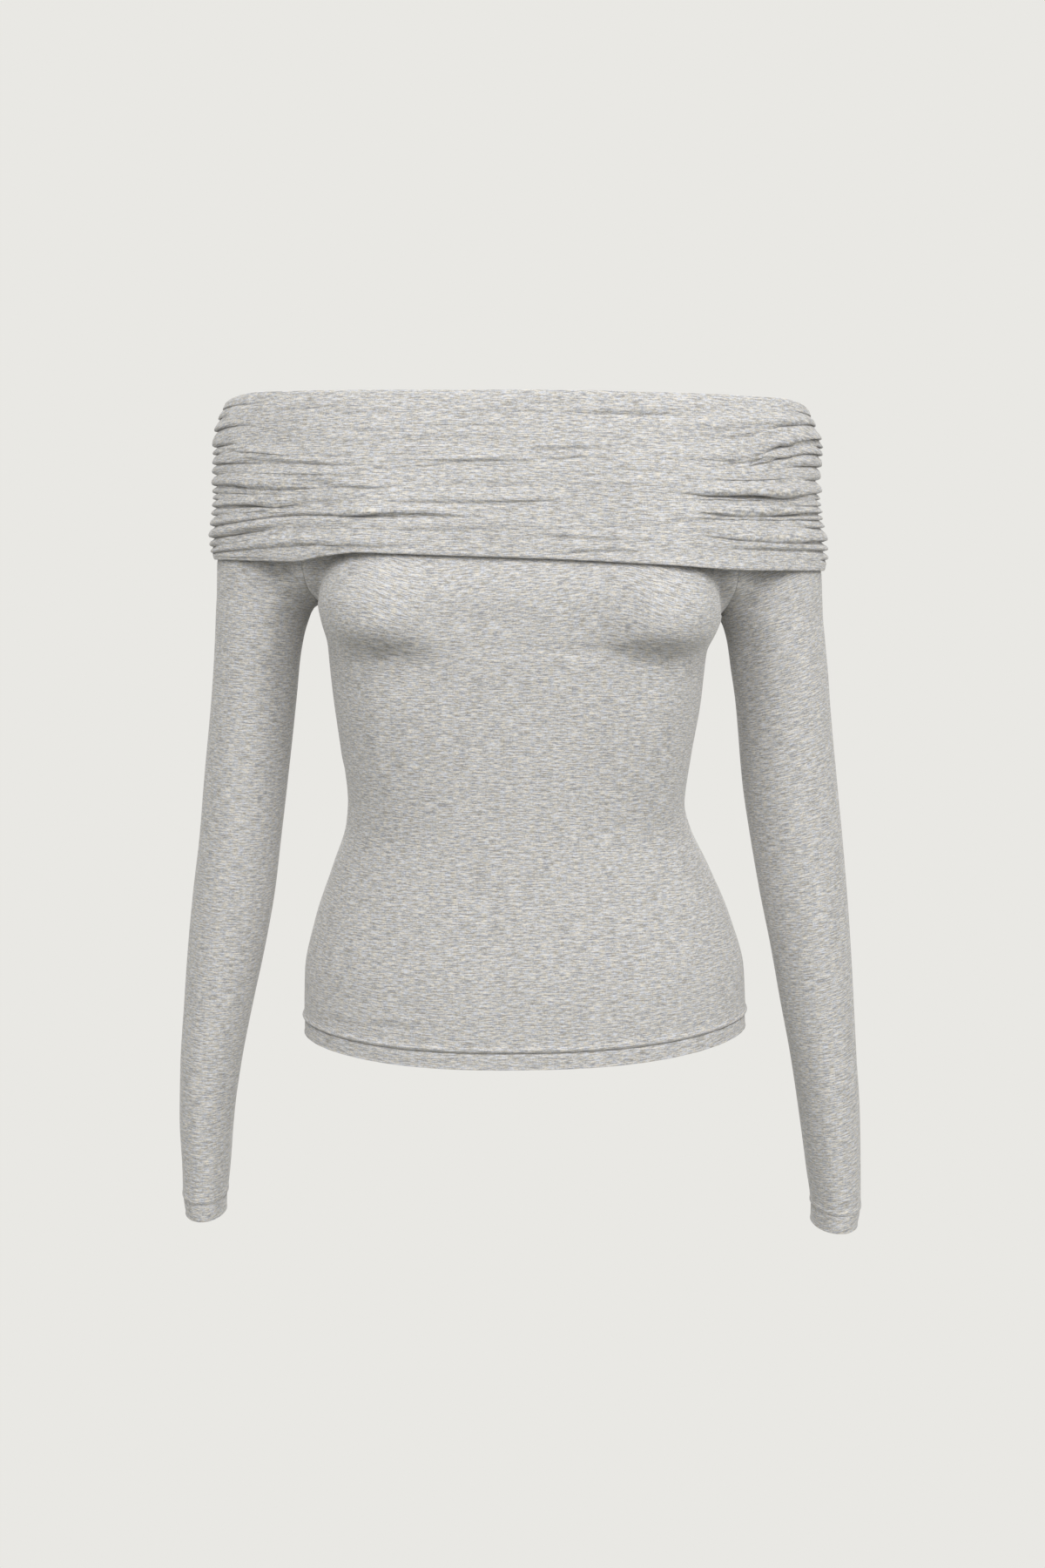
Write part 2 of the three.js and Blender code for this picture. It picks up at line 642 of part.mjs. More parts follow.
// Height of the band's lower fold at a place, with its rise at the side seams.
function lowerEdge(half, x, fromSeam) {
  const edge = half === 'front' ? FRONT_LOWER_EDGE : BACK_LOWER_EDGE;
  return read(edge, 'z', x, 'x') + BAND_CORNER.lift * (1 - smooth(fromSeam / BAND_CORNER.length));
}

// Height of the gather numbered n from 0, the top edge, to one past the last, the lower fold.
function gatherHeight(gathers, n, fromSeam, foot) {
  if (n === 0) return BAND_TOP - BAND_ROLL;
  if (n === gathers.length + 1) return foot;
  const { at, end } = gathers[n - 1];
  const lowest = foot + LAST_GATHER + GATHER_ROOM * (gathers.length - n);
  return Math.max(lowest, mix(at, end, smooth(fromSeam / GATHER_DRIFT)));
}

// How far a gather stands in or out, by its row and the distance from the seam.
function gatherDepth(gathers, n, fromSeam, shift) {
  if (n < 1 || n > gathers.length) return 0;
  const { length, depth } = gathers[(n - 1 + shift) % gathers.length];
  return depth * (1 - smooth(fromSeam / length));
}

// The rows of the band's outer face at one place: height and stand. Both side seams have their gathers,
// and their rows meet in the middle.
function bandFace(half, x, fromSeam, toMiddle) {
  const gathers = x < 0 ? RIGHT_GATHERS : LEFT_GATHERS;
  const others = x < 0 ? LEFT_GATHERS : RIGHT_GATHERS;
  const shift = half === 'front' ? 0 : BACK_SHIFT;
  const foot = lowerEdge(half, x, fromSeam) + BAND_FOOT;
  const blend = smooth((fromSeam - GATHER_DRIFT) / (toMiddle - GATHER_DRIFT)) / 2;
  const height = (n) => mix(
    gatherHeight(gathers, n, fromSeam, foot),
    gatherHeight(others, n, GATHER_DRIFT, foot),
    blend,
  );
  const perGather = GATHER_SHAPE.length;
  const rows = [];
  for (let n = 0; n <= gathers.length; n += 1) {
    const room = height(n) - height(n + 1);
    const deep = gatherDepth(gathers, n, fromSeam, shift);
    const next = gatherDepth(gathers, n + 1, fromSeam, shift);
    for (let part = 0; part < perGather; part += 1) {
      const t = part / perGather;
      const valley = part === 0;
      const size = Math.min(valley ? deep : mix(deep, next, t), GATHER_LIMIT * room);
      rows.push({ z: height(n) - t * room, stand: BAND_OUTSIDE + GATHER_SHAPE[part] * size });
    }
  }
  rows.push({ z: foot, stand: BAND_OUTSIDE });
  return rows;
}

// The band's section at one place, as runs of height and stand: the outer face from the top edge down,
// and the inner face from the top edge down.
function bandSection(half, x, fromSeam, toMiddle) {
  const outside = bandFace(half, x, fromSeam, toMiddle);
  const foot = lowerEdge(half, x, fromSeam);
  const middle = (BAND_OUTSIDE + BAND_LIP) / 2;
  const roll = (turn) => ({
    z: BAND_TOP - BAND_ROLL + BAND_ROLL * Math.sin(turn),
    stand: middle + ((BAND_OUTSIDE - BAND_LIP) / 2) * Math.cos(turn),
  });
  const crest = roll(Math.PI / 2);
  const keel = { z: foot, stand: (BAND_INSIDE + BAND_OUTSIDE) / 2 };
  const lip = NECKLINE_Z + SEAM_GAP + DIP_CLEARANCE * smooth((Math.abs(x) - ARMHOLE[0].x) / DIP_CLEARANCE_RUN);
  return {
    outer: [crest, roll(Math.PI / 4), ...outside, keel],
    inner: [
      crest,
      roll((3 * Math.PI) / 4),
      { z: BAND_TOP - BAND_ROLL, stand: BAND_LIP },
      { z: lip, stand: BAND_LIP },
      { z: lip, stand: BAND_INSIDE },
      ...BAND_BACKING_ROWS.map((z) => ({ z, stand: BAND_INSIDE })).reverse(),
      { z: foot + BAND_FOOT, stand: BAND_INSIDE },
      keel,
    ],
  };
}

// Taut loops at even heights, so that a section can be placed at any height between them.
const LOOP_STEP = 6;
const LOOP_TOP = 18;
const LOOP_COUNT = 22;
const LOOPS = Array.from({ length: LOOP_COUNT }, (_, k) => tautLoop(LOOP_TOP - LOOP_STEP * k));

// A point beside the taut loop: share of its half's length, height and stand.
function besideLoop(half, share, z, stand) {
  const place = (LOOP_TOP - z) / LOOP_STEP;
  const k = Math.min(LOOPS.length - 2, Math.floor(place));
  const ends = [LOOPS[k], LOOPS[k + 1]].map((loop) => {
    const s = mix(loop.half[half].start, loop.half[half].end, share);
    return pointAt(loop, s).addScaledVector(outwardAt(loop, s), stand);
  });
  return ends[0].lerp(ends[1], place - k);
}

// Half of the band, from side seam to side seam.
function bandGeometry(half) {
  const surface = new Surface();
  const { start, end } = LOOPS[Math.round((LOOP_TOP - BAND_MIDDLE) / LOOP_STEP)].half[half];
  const length = end - start;
  const apart = (half === 'front' ? -1 : 1) * (SEAM_GAP / 2);
  const columns = [];
  for (let c = 0; c <= BAND_COLUMNS; c += 1) {
    const t = (2 * c) / BAND_COLUMNS;
    const share = t <= 1 ? t ** BAND_CROWDING / 2 : 1 - (2 - t) ** BAND_CROWDING / 2;
    const fromSeam = Math.min(share, 1 - share) * length;
    const x = besideLoop(half, share, BAND_MIDDLE, BAND_OUTSIDE).x;
    const section = bandSection(half, x, fromSeam, length / 2);
    const place = ({ z, stand }) => {
      const p = besideLoop(half, share, z, stand);
      if (c === 0 || c === BAND_COLUMNS) p.y = apart;
      return new THREE.Vector3(...settle(p.x, p.y, z));
    };
    columns.push({ outer: section.outer.map(place), inner: section.inner.map(place) });
  }
  for (let c = 0; c < BAND_COLUMNS; c += 1) {
    const [one, two] = [columns[c], columns[c + 1]];
    for (let r = 0; r < one.outer.length - 1; r += 1) {
      surface.quad(one.outer[r + 1], two.outer[r + 1], two.outer[r], one.outer[r]);
    }
    for (let r = 0; r < one.inner.length - 1; r += 1) {
      surface.quad(two.inner[r + 1], one.inner[r + 1], one.inner[r], two.inner[r]);
    }
  }
  surface.strip(columns[0].outer, columns[0].inner);
  surface.strip(columns[BAND_COLUMNS].inner, columns[BAND_COLUMNS].outer);
  return surface.geometry();
}

const jersey = () => new THREE.MeshStandardMaterial({ color: HEATHER_GREY, roughness: 0.95, metalness: 0 });

const sleeveOpenFrom = SLEEVE_ROWS.length;
const pieces = {
  front_panel: wallGeometry(panelRows('front', FRONT_COLUMNS), 0),
  back_panel: wallGeometry(panelRows('back', BACK_COLUMNS), 0),
  left_sleeve: wallGeometry(sleeveRows(1), sleeveOpenFrom),
  right_sleeve: wallGeometry(sleeveRows(-1), sleeveOpenFrom),
  band_front: bandGeometry('front'),
  band_back: bandGeometry('back'),
};

const top = new THREE.Group();
for (const [name, geometry] of Object.entries(pieces)) {
  const mesh = new THREE.Mesh(geometry, jersey());
  mesh.name = name;
  top.add(mesh);
}

export default top;
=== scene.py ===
"""Off-shoulder top of heather grey jersey, filled out as when worn: body, two long sleeves and a
wide double band turned down over the bust. Sizes are millimetres in the frame of the CAD part.

Every cut piece is one thin sheet of cloth that lies on its solid. A grid is added, its vertices are
moved to the garment's sections, folds and gathers are pressed in, and a modifier gives the cloth
its thickness.
"""

import math

import bpy
import numpy as np
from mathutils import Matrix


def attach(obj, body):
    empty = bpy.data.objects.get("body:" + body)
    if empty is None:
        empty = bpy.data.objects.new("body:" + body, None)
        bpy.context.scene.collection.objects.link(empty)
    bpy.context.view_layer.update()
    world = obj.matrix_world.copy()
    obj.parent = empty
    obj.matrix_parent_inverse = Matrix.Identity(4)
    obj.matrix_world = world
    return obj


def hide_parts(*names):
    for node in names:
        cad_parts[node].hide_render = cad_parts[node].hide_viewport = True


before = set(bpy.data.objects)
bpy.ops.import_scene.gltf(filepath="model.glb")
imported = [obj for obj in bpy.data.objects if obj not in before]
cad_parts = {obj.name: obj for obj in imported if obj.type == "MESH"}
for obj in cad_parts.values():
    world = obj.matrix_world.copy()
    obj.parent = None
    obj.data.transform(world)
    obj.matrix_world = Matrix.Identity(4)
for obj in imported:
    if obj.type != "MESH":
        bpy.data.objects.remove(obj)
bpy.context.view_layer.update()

MM = 0.001
JERSEY = 0.9  # one layer of soft single jersey
BAND_JERSEY = 0.7  # thinner in the folded band, so that its two layers keep apart
FOLDED_GAP = 1.5  # between the face and the turned-up edge behind it
HEM_TURN = 11.0  # from the edge up to the stitched line
CUFF_TURN = 12.0
UNDERARM_Z = -136.0
HEM_Z = -449.0
CUFF_Z = -574.0
ARMHOLE_RISE = 75.0  # height over which the armhole opens, from the underarm up
ARMHOLE_EASE = 75.0  # distance from the seam over which the cloth is drawn taut
ARM_WIDTH = 76.5


# Sizes of the garment


def table(names, *rows):
    """Named columns of a small table."""
    return dict(zip(names.split(), np.array(rows, float).T))


TRUNK = table(
    "z right left front back",
    (20, 139, 136, 85, 84),
    (0, 139, 136, 90, 88),
    (-60, 140, 137.5, 97.5, 96),
    (-100, 141, 138.5, 101, 98),
    (-136, 141, 138.5, 102, 97),
    (-150, 138.5, 133, 101.5, 94),
    (-176, 136.5, 130.3, 99, 90),
    (-200, 134, 128, 97, 86),
    (-240, 128.5, 121.5, 94.5, 80),
    (-274, 124, 117.3, 92.5, 78),
    (-290, 125.3, 121, 92, 80),
    (-320, 135, 135, 92.5, 86),
    (-358, 148, 151, 95.5, 98),
    (-396, 156, 161, 99.5, 107),
    (-449, 157, 163, 102, 111),
)
TRUNK_SQUARENESS = 2.35  # 2 is an ellipse
BUST_X = 94.0  # the middle of each half, from the front's middle
LEFT_RAISE = 4.0  # the wearer's left half sits this much higher
BUST_DEPTH = 48.0  # half of its form's depth
BUST = table(
    "z reach spread hollow",
    (20, 73, 34, 0),
    (0, 82, 37, 0.5),
    (-30, 90, 40, 2.5),
    (-60, 96.5, 42, 5.5),
    (-90, 101, 43, 8.5),
    (-100, 102.5, 43, 9.5),
    (-112, 107, 43, 11),
    (-124, 111.5, 43, 13),
    (-134, 113.5, 42.5, 14.8),
    (-142, 114, 41.5, 15.8),
    (-150, 112.5, 39.5, 14),
    (-156, 109, 36.5, 9.8),
    (-161, 102.5, 33, 5),
    (-165, 95.5, 30.5, 1.6),
    (-169, 90.5, 29, 0.3),
    (-174, 88, 28, 0),
    (-190, 86.5, 26, 0),
    (-200, 86, 25, 0),
    (-240, 79, 18, 0),
    (-274, 70, 14, 0),
    (-300, 60, 12, 0),
)
HOLLOW_FROM = 42.0  # from the middle, where the hollow begins to fade out
HOLLOW_TO = 95.0
ARMS = table(
    "z right left",
    (20, 202, 197),
    (0, 209.5, 204.5),
    (-9, 212, 208.5),
    (-39, 213, 206.5),
    (-70, 214, 209.5),
    (-94, 215.5, 213),
    (-136, 216.5, 215.5),
)
RIGHT_SLEEVE = table(
    "z outer inner",
    (-136, 216.5, 141),
    (-142, 217, 148.5),
    (-149, 217.4, 151.5),
    (-158, 217.8, 154.5),
    (-176, 218.9, 158),
    (-200, 220.8, 160.5),
    (-260, 227.1, 167.5),
    (-300, 230.8, 172.5),
    (-340, 235.9, 177.5),
    (-380, 240, 185),
    (-420, 243, 194),
    (-460, 245.6, 202),
    (-500, 246.2, 207.5),
    (-540, 244.2, 210.5),
    (-562, 243.7, 212.5),
    (-574, 242, 213),
)
LEFT_SLEEVE = table(
    "z outer inner",
    (-136, 215.5, 138.5),
    (-142, 216.1, 143.5),
    (-149, 216.8, 146),
    (-158, 217.7, 148),
    (-176, 219.5, 150.5),
    (-200, 221.3, 154),
    (-260, 227.2, 159.5),
    (-300, 231.3, 165.5),
    (-340, 234.9, 172.5),
    (-380, 237.8, 180.5),
    (-420, 240.1, 187.5),
    (-460, 242.2, 195),
    (-500, 244.8, 201.3),
    (-540, 245.5, 207),
    (-562, 245.6, 210),
    (-574, 243.5, 209.8),
)
SLEEVE_DEPTH = table(
    "z half middle",
    (20, 44, 0),
    (-136, 46, 0),
    (-230, 44, -1),
    (-300, 42, -3),
    (-360, 40, -6),
    (-420, 37.5, -10),
    (-480, 35.5, -15),
    (-540, 34, -20),
    (-574, 33, -23),
)
LEAN = table(
    "z sink",
    (20, 0.011),
    (-60, 0.013),
    (-105, 0.018),
    (-136, 0.033),
    (-180, 0.022),
    (-260, 0.01),
    (-350, 0),
    (-449, -0.012),
    (-520, 0),
    (-574, 0.019),
)
NECK_DIP = {"right": (175, 211, 6), "left": (176, 209, 8)}  # from, to and drop at the outer ends
DIP_TOP = -5.0
DIP_END = -50.0
HEM_RISE = 8.8  # at HEM_RISE_AT from the middle, growing from nothing at HEM_RISE_FROM
HEM_RISE_AT = 150.0
HEM_RISE_FROM = -380.0
HEM_RISE_POWER = 2.5
ARMHOLE = table("z x", (0, 138), (-61, 149), (-136, 153))

# The band's section: how far its layers stand off the taut loops, its top roll and lower fold
BAND_INSIDE = 1.0
BAND_OUTSIDE = 3.3
BAND_LIP = -2.2
BAND_TOP = 11.6
BAND_ROLL = 3.0
BAND_FOOT = 2.4
BAND_SEAM = 0.6  # height of the neckline seam
BAND_MIDDLE = -48.0
CORNER_LIFT = 4.5  # at its side seams the lower edge turns up
CORNER_LENGTH = 15.0
FRONT_LOWER_EDGE = table(
    "x z",
    (-212, -105.6),
    (-155, -105.4),
    (-130, -101),
    (-106, -98.2),
    (-58, -99),
    (13, -100.2),
    (96, -103),
    (151, -105.7),
    (212, -105.8),
)
BACK_LOWER_EDGE = table(
    "x z",
    (-212, -105.6),
    (-120, -103.5),
    (-30, -101.5),
    (70, -102.5),
    (150, -104.8),
    (212, -105.8),
)
# Gathers: height at the side seam, height at GATHER_DRIFT from it, length and depth
RIGHT_GATHERS = table(
    "at end length depth",
    (6.5, -0.5, 60, 0.9),
    (0.5, -8, 30, 1.1),
    (-7, -15.5, 56, 1.8),
    (-20, -30, 46, 1.8),
    (-27, -34, 26, 1.3),
    (-36, -39, 84, 1.8),
    (-44.5, -46.5, 26, 1.4),
    (-52.5, -55, 118, 2.1),
    (-58, -59, 24, 1.3),
    (-62.5, -62.5, 26, 1.3),
    (-68, -66.5, 94, 2.1),
    (-74, -69.8, 26, 1.4),
    (-81.5, -73, 205, 2.5),
    (-90, -82, 78, 2.3),
    (-96.5, -88, 28, 1.5),
    (-101, -93.5, 128, 1.9),
)
LEFT_GATHERS = table(
    "at end length depth",
    (7, -4, 54, 1.3),
    (1.5, -16, 88, 1.4),
    (-5.5, -33, 112, 2.4),
    (-12, -35.5, 24, 1.4),
    (-19, -38, 112, 1.9),
    (-31, -42, 54, 1.9),
    (-43, -47, 40, 1.9),
    (-52.5, -55.5, 152, 2.5),
    (-57, -59, 24, 1.4),
    (-61.5, -62.5, 70, 1.9),
    (-66.5, -67.5, 118, 2.4),
    (-71, -72, 54, 1.7),
    (-76.5, -77, 48, 1.9),
    (-86, -84, 118, 2.4),
    (-92.5, -92.3, 42, 1.7),
    (-98.5, -99, 26, 1.5),
)
GATHER_DRIFT = 110.0
LAST_GATHER = 1.2  # the lowest gather's least height above the lower fold
GATHER_ROOM = 2.2  # the least room between gathers
BACK_SHIFT = 5  # the back takes its gathers' sizes from this many places on


# Reading sizes


def smooth(t):
    u = np.clip(t, 0, 1)
    return u * u * (3 - 2 * u)


def rising(value, start, end):
    """Grows softly from 0 at start to 1 at end."""
    return smooth((value - start) / (end - start))


def mix(a, b, t):
    return a + (b - a) * t


def read(sizes, name, place, key="z"):
    """Reads a named column at a place on its key column, along a curve that never overshoots."""
    order = np.argsort(sizes[key])
    at, value = sizes[key][order], sizes[name][order]
    slope = np.diff(value) / np.diff(at)
    before, after = slope[:-1], slope[1:]
    same_way = before * after > 0
    total = np.where(same_way, before + after, 1)
    inner = np.where(same_way, 2 * before * after / total, 0)
    tangent = np.concatenate(([slope[0]], inner, [slope[-1]]))
    place = np.clip(place, at[0], at[-1])
    k = np.clip(np.searchsorted(at, place, side="right") - 1, 0, len(at) - 2)
    span = at[k + 1] - at[k]
    t = (place - at[k]) / span
    start, rise = 2 * t**3 - 3 * t**2 + 1, t**3 - 2 * t**2 + t
    end, fall = 3 * t**2 - 2 * t**3, t**3 - t**2
    from_here = start * value[k] + rise * span * tangent[k]
    return from_here + end * value[k + 1] + fall * span * tangent[k + 1]


# Sections


HULL_SOFTNESS = 12.0  # rounds the taut contour where it passes from one form to the next
RING_STEPS = 480
NUDGE = math.pi / 240


def form(x, y, half_x, front, back, squareness=2.0):
    """A level section: its middle, half its width, and its depth to the front and to the back."""
    sizes = {"x": x, "y": y, "half_x": half_x, "front": front, "back": back}
    return {**sizes, "squareness": squareness}


def reach_of(shape, angle):
    """How far a form reaches towards an angle."""
    dual = shape["squareness"] / (shape["squareness"] - 1)
    depth = np.where(np.sin(angle) < 0, shape["front"], shape["back"])
    across = (shape["half_x"] * np.abs(np.cos(angle))) ** dual
    deep = (depth * np.abs(np.sin(angle))) ** dual
    return shape["x"] * np.cos(angle) + shape["y"] * np.sin(angle) + (across + deep) ** (1 / dual)


def taut_reach(shapes, angle):
    reach = reach_of(shapes[0], angle)
    for shape in shapes[1:]:
        other = reach_of(shape, angle)
        near = np.maximum(0, HULL_SOFTNESS - np.abs(reach - other))
        reach = np.maximum(reach, other) + near**2 / (4 * HULL_SOFTNESS)
    return reach


class Ring:
    """The taut contour round some forms, counterclockwise from the middle of the back: the wearer's
    right side, the front, the left side and the back again."""

    def __init__(self, shapes):
        angle = math.pi / 2 + 2 * math.pi * np.arange(RING_STEPS + 1) / RING_STEPS
        h = taut_reach(shapes, angle)
        turn = (taut_reach(shapes, angle + NUDGE) - taut_reach(shapes, angle - NUDGE)) / (2 * NUDGE)
        self.x = h * np.cos(angle) - turn * np.sin(angle)
        self.y = h * np.sin(angle) + turn * np.cos(angle)
        self.x[-1], self.y[-1] = self.x[0], self.y[0]
        self.run = np.concatenate(([0], np.cumsum(np.hypot(np.diff(self.x), np.diff(self.y)))))
        self.length = self.run[-1]
        level = self.y - shapes[0]["y"]
        self.right = self.zero(level, falling=True)
        self.left = self.zero(level, falling=False)
        again = self.right + self.length
        self.half = {"front": (self.right, self.left), "back": (self.left, again)}

    def zero(self, level, falling):
        for k in np.nonzero(level[:-1] * level[1:] <= 0)[0]:
            if (level[k] > level[k + 1]) == falling and level[k] != level[k + 1]:
                return mix(self.run[k], self.run[k + 1], level[k] / (level[k] - level[k + 1]))
        raise ValueError("the contour doesn't cross its side line")

    def at(self, place):
        s = np.mod(place, self.length)
        return np.stack((np.interp(s, self.run, self.x), np.interp(s, self.run, self.y)), -1)

    def outward(self, place):
        place = np.asarray(place)
        before, after = self.at(place - 0.5), self.at(place + 0.5)
        out = np.stack((after[..., 1] - before[..., 1], before[..., 0] - after[..., 0]), -1)
        return out / np.linalg.norm(out, axis=-1, keepdims=True)

    def crossing(self, x, half):
        """The place at which the front or back half passes x."""
        level = self.x - x
        on_half = (self.y[1:] < 0) == (half == "front")
        passes = (level[:-1] * level[1:] <= 0) & (level[:-1] != level[1:])
        k = np.nonzero(on_half & passes)[0][0]
        place = mix(self.run[k], self.run[k + 1], level[k] / (level[k] - level[k + 1]))
        return place + self.length if place < self.half[half][0] else place


def trunk_forms(z):
    right, left = read(TRUNK, "right", z), read(TRUNK, "left", z)
    trunk = form(
        (left - right) / 2,
        0,
        (left + right) / 2,
        read(TRUNK, "front", z),
        read(TRUNK, "back", z),
        TRUNK_SQUARENESS,
    )
    forms = [trunk]
    for x, height in ((-BUST_X, z), (BUST_X, z - LEFT_RAISE)):
        reach, spread = read(BUST, "reach", height), read(BUST, "spread", height)
        forms.append(form(x, BUST_DEPTH - reach, spread, BUST_DEPTH, BUST_DEPTH))
    return forms


def limb(side, outer, inner, z):
    half, middle = read(SLEEVE_DEPTH, "half", z), read(SLEEVE_DEPTH, "middle", z)
    return form(side * (outer + inner) / 2, middle, (outer - inner) / 2, half, half)


def arm_form(side, z, inner=None):
    outer = read(ARMS, "right" if side < 0 else "left", z)
    return limb(side, outer, outer - ARM_WIDTH if inner is None else inner, z)


def sleeve_form(side, z):
    sizes = RIGHT_SLEEVE if side < 0 else LEFT_SLEEVE
    return limb(side, read(sizes, "outer", z), read(sizes, "inner", z), z)


def torso_ring(z):
    return Ring(trunk_forms(z))


def taut_ring(z):
    return Ring(trunk_forms(z) + [arm_form(-1, z), arm_form(1, z)])


def settle(row, z):
    """Puts a row of plan points at its height, with the top's lean, the neckline's dip and the
    hollow between the halves of the bust."""
    x, y = row[:, 0], row[:, 1]
    z = z + np.zeros_like(x)
    sideways = np.zeros_like(x)
    drop = np.zeros_like(x)
    for side, (start, end, fall) in ((x < 0, NECK_DIP["right"]), (x >= 0, NECK_DIP["left"])):
        sideways = np.where(side, np.maximum(0, (np.abs(x) - start) / (end - start)) ** 2, sideways)
        drop = np.where(side, fall, drop)
    between = 1 - rising(np.abs(x), HOLLOW_FROM, HOLLOW_TO)
    hollow = np.where(y < 0, read(BUST, "hollow", z) * between, 0)
    dip = drop * sideways * rising(z, DIP_END, DIP_TOP)
    return np.stack((x, y + hollow, z - read(LEAN, "sink", z) * x - dip), -1)


def hem_rise(x, z):
    """The hem rises towards the side seams."""
    near = rising(z, HEM_RISE_FROM, HEM_Z)
    return HEM_RISE * (np.abs(x) / HEM_RISE_AT) ** HEM_RISE_POWER * near


def spread_out(start, end, columns, crowding=1.0):
    """Places from start to end. Crowding above 1 draws them towards both ends."""
    t = np.linspace(0, 2, columns + 1)
    share = np.where(t <= 1, np.abs(t) ** crowding / 2, 1 - np.abs(2 - t) ** crowding / 2)
    return mix(start, end, share)


# Cloth


BODY_ROW_STEP = 3.0
SLEEVE_ROW_STEP = 3.5
EDGE_ROW_STEP = 0.8  # close together where the turned edge is stitched
HEM_FINE_HEIGHT = 22.0  # up to here the rows are that close
CUFF_FINE_HEIGHT = 20.0
EDGE_BACK_ROWS = 5  # up the back of a turned edge
EDGE_BACK_END = 2.0
EDGE_FOLD_STEPS = 6
ARMHOLE_STEPS = 30
ROWS_OVER_ARMHOLE = 11
TUCK = 1.0  # under the band the cloth lies this much further in
TUCK_FROM = -110.0
TUCK_TO = -98.0


class Cloth:
    """A grid of points on the outer face, with each point's place in the flat cloth."""

    def __init__(self, points, across, along):
        self.points = np.array(points)
        self.across = np.array(across)
        self.along = np.array(along)
        self.lift = np.zeros(self.points.shape[:2])

    def outward(self):
        right = np.gradient(self.points, axis=1)
        up = np.gradient(self.points, axis=0)
        out = np.cross(right, up)
        return out / np.maximum(np.linalg.norm(out, axis=-1, keepdims=True), 1e-9)

    def pressed(self):
        return self.points + self.outward() * self.lift[..., None]


def lengths(points, axis):
    step = np.linalg.norm(np.diff(points, axis=axis), axis=-1)
    zero = np.zeros_like(np.take(step, [0], axis=axis))
    return np.concatenate((zero, np.cumsum(step, axis=axis)), axis=axis)


def make_sheet(name, points, across, along, thickness, tube=False):
    """Adds a grid, moves its vertices to the points and gives it its thickness. A tube's first and
    last columns are merged where they meet."""
    rows, columns = points.shape[0] - 1, points.shape[1] - 1
    bpy.ops.object.select_all(action="DESELECT")
    bpy.ops.mesh.primitive_grid_add(
        x_subdivisions=columns, y_subdivisions=rows, size=1, calc_uvs=True
    )
    piece = bpy.context.object
    piece.name = name
    mesh = piece.data
    mesh.name = name
    flat = np.empty(len(mesh.vertices) * 3)
    mesh.vertices.foreach_get("co", flat)
    flat = flat.reshape(-1, 3)
    column = np.rint((flat[:, 0] + 0.5) * columns).astype(int)
    row = np.rint((flat[:, 1] + 0.5) * rows).astype(int)
    mesh.vertices.foreach_set("co", (points[row, column] * MM).ravel())
    cloth = mesh.uv_layers.active
    cloth.name = "cloth"
    corner = np.empty(len(mesh.loops), int)
    mesh.loops.foreach_get("vertex_index", corner)
    at = row[corner], column[corner]
    cloth.data.foreach_set("uv", (np.stack((across[at], along[at]), -1) * MM).ravel())
    mesh.update()
    if tube:
        bpy.ops.object.mode_set(mode="EDIT")
        bpy.ops.mesh.select_all(action="SELECT")
        bpy.ops.mesh.remove_doubles(threshold=1e-6)
        bpy.ops.mesh.select_all(action="DESELECT")
        bpy.ops.object.mode_set(mode="OBJECT")
    wall = piece.modifiers.new("thickness", "SOLIDIFY")
    wall.thickness = thickness * MM
    wall.offset = -1
    wall.use_quality_normals = True
    bpy.ops.object.modifier_apply(modifier=wall.name)
    bpy.ops.object.shade_smooth()
    return piece


def turned_edge(height):
    """Rows behind the face: from the hidden raw edge down the back of the turned edge and round its
    fold. Gives for each row the height above the edge and how far it lies behind the face."""
    behind = [(rise, FOLDED_GAP) for rise in np.linspace(height, EDGE_BACK_END, EDGE_BACK_ROWS)]
    for turn in np.linspace(0, math.pi, EDGE_FOLD_STEPS + 1)[1:-1]:
        rise = FOLDED_GAP / 2 * (1 - math.sin(turn))
        behind.append((rise, FOLDED_GAP / 2 * (1 + math.cos(turn))))
    return behind


def lower_rows(edge_z, height, fine_height, step):
    """Heights and setbacks of the rows from the hidden raw edge round the fold and up the face to
    the underarm."""
    fine = np.arange(edge_z, edge_z + fine_height, EDGE_ROW_STEP)
    face = np.concatenate((fine, np.arange(edge_z + fine_height, UNDERARM_Z - 1, step)))
    behind = [(edge_z + rise, back) for rise, back in turned_edge(height)]
    return behind + [(z, 0.0) for z in face if z > edge_z + FOLDED_GAP / 2]


def opened_share(points, z, opened):
    """How far each point of a row has left its own form for the taut loop."""
    slow = smooth((z - UNDERARM_Z) / ARMHOLE_RISE)
    run = np.concatenate(([0], np.cumsum(np.linalg.norm(np.diff(points, axis=0), axis=-1))))
    from_end = np.minimum(run, run[-1] - run)
    return mix(opened, slow, smooth(from_end / ARMHOLE_EASE))


def upper_rows():
    """Heights of the rows above the underarm, and how far the armhole has opened at each."""
    turn = np.linspace(0, math.pi / 2, ARMHOLE_STEPS + 1)
    rows = [(UNDERARM_Z + ARMHOLE_RISE * (1 - math.cos(t)), math.sin(t)) for t in turn]
    return rows + [(z, 1.0) for z in np.linspace(rows[-1][0], 0, ROWS_OVER_ARMHOLE + 1)[1:]]


def tuck(z):
    return -TUCK * rising(z, TUCK_FROM, TUCK_TO)


def moved_out(points, distance, ends=None):
    """Moves a row of points along its outward direction in plan."""
    after, before = np.roll(points, -1, 0), np.roll(points, 1, 0)
    before[0], after[-1] = points[0], points[-1]
    out = np.stack((after[:, 1] - before[:, 1], before[:, 0] - after[:, 0]), -1)
    out = out / np.linalg.norm(out, axis=-1, keepdims=True)
    if ends is not None:
        out[0], out[-1] = ends
    return points + out * np.asarray(distance)[..., None]


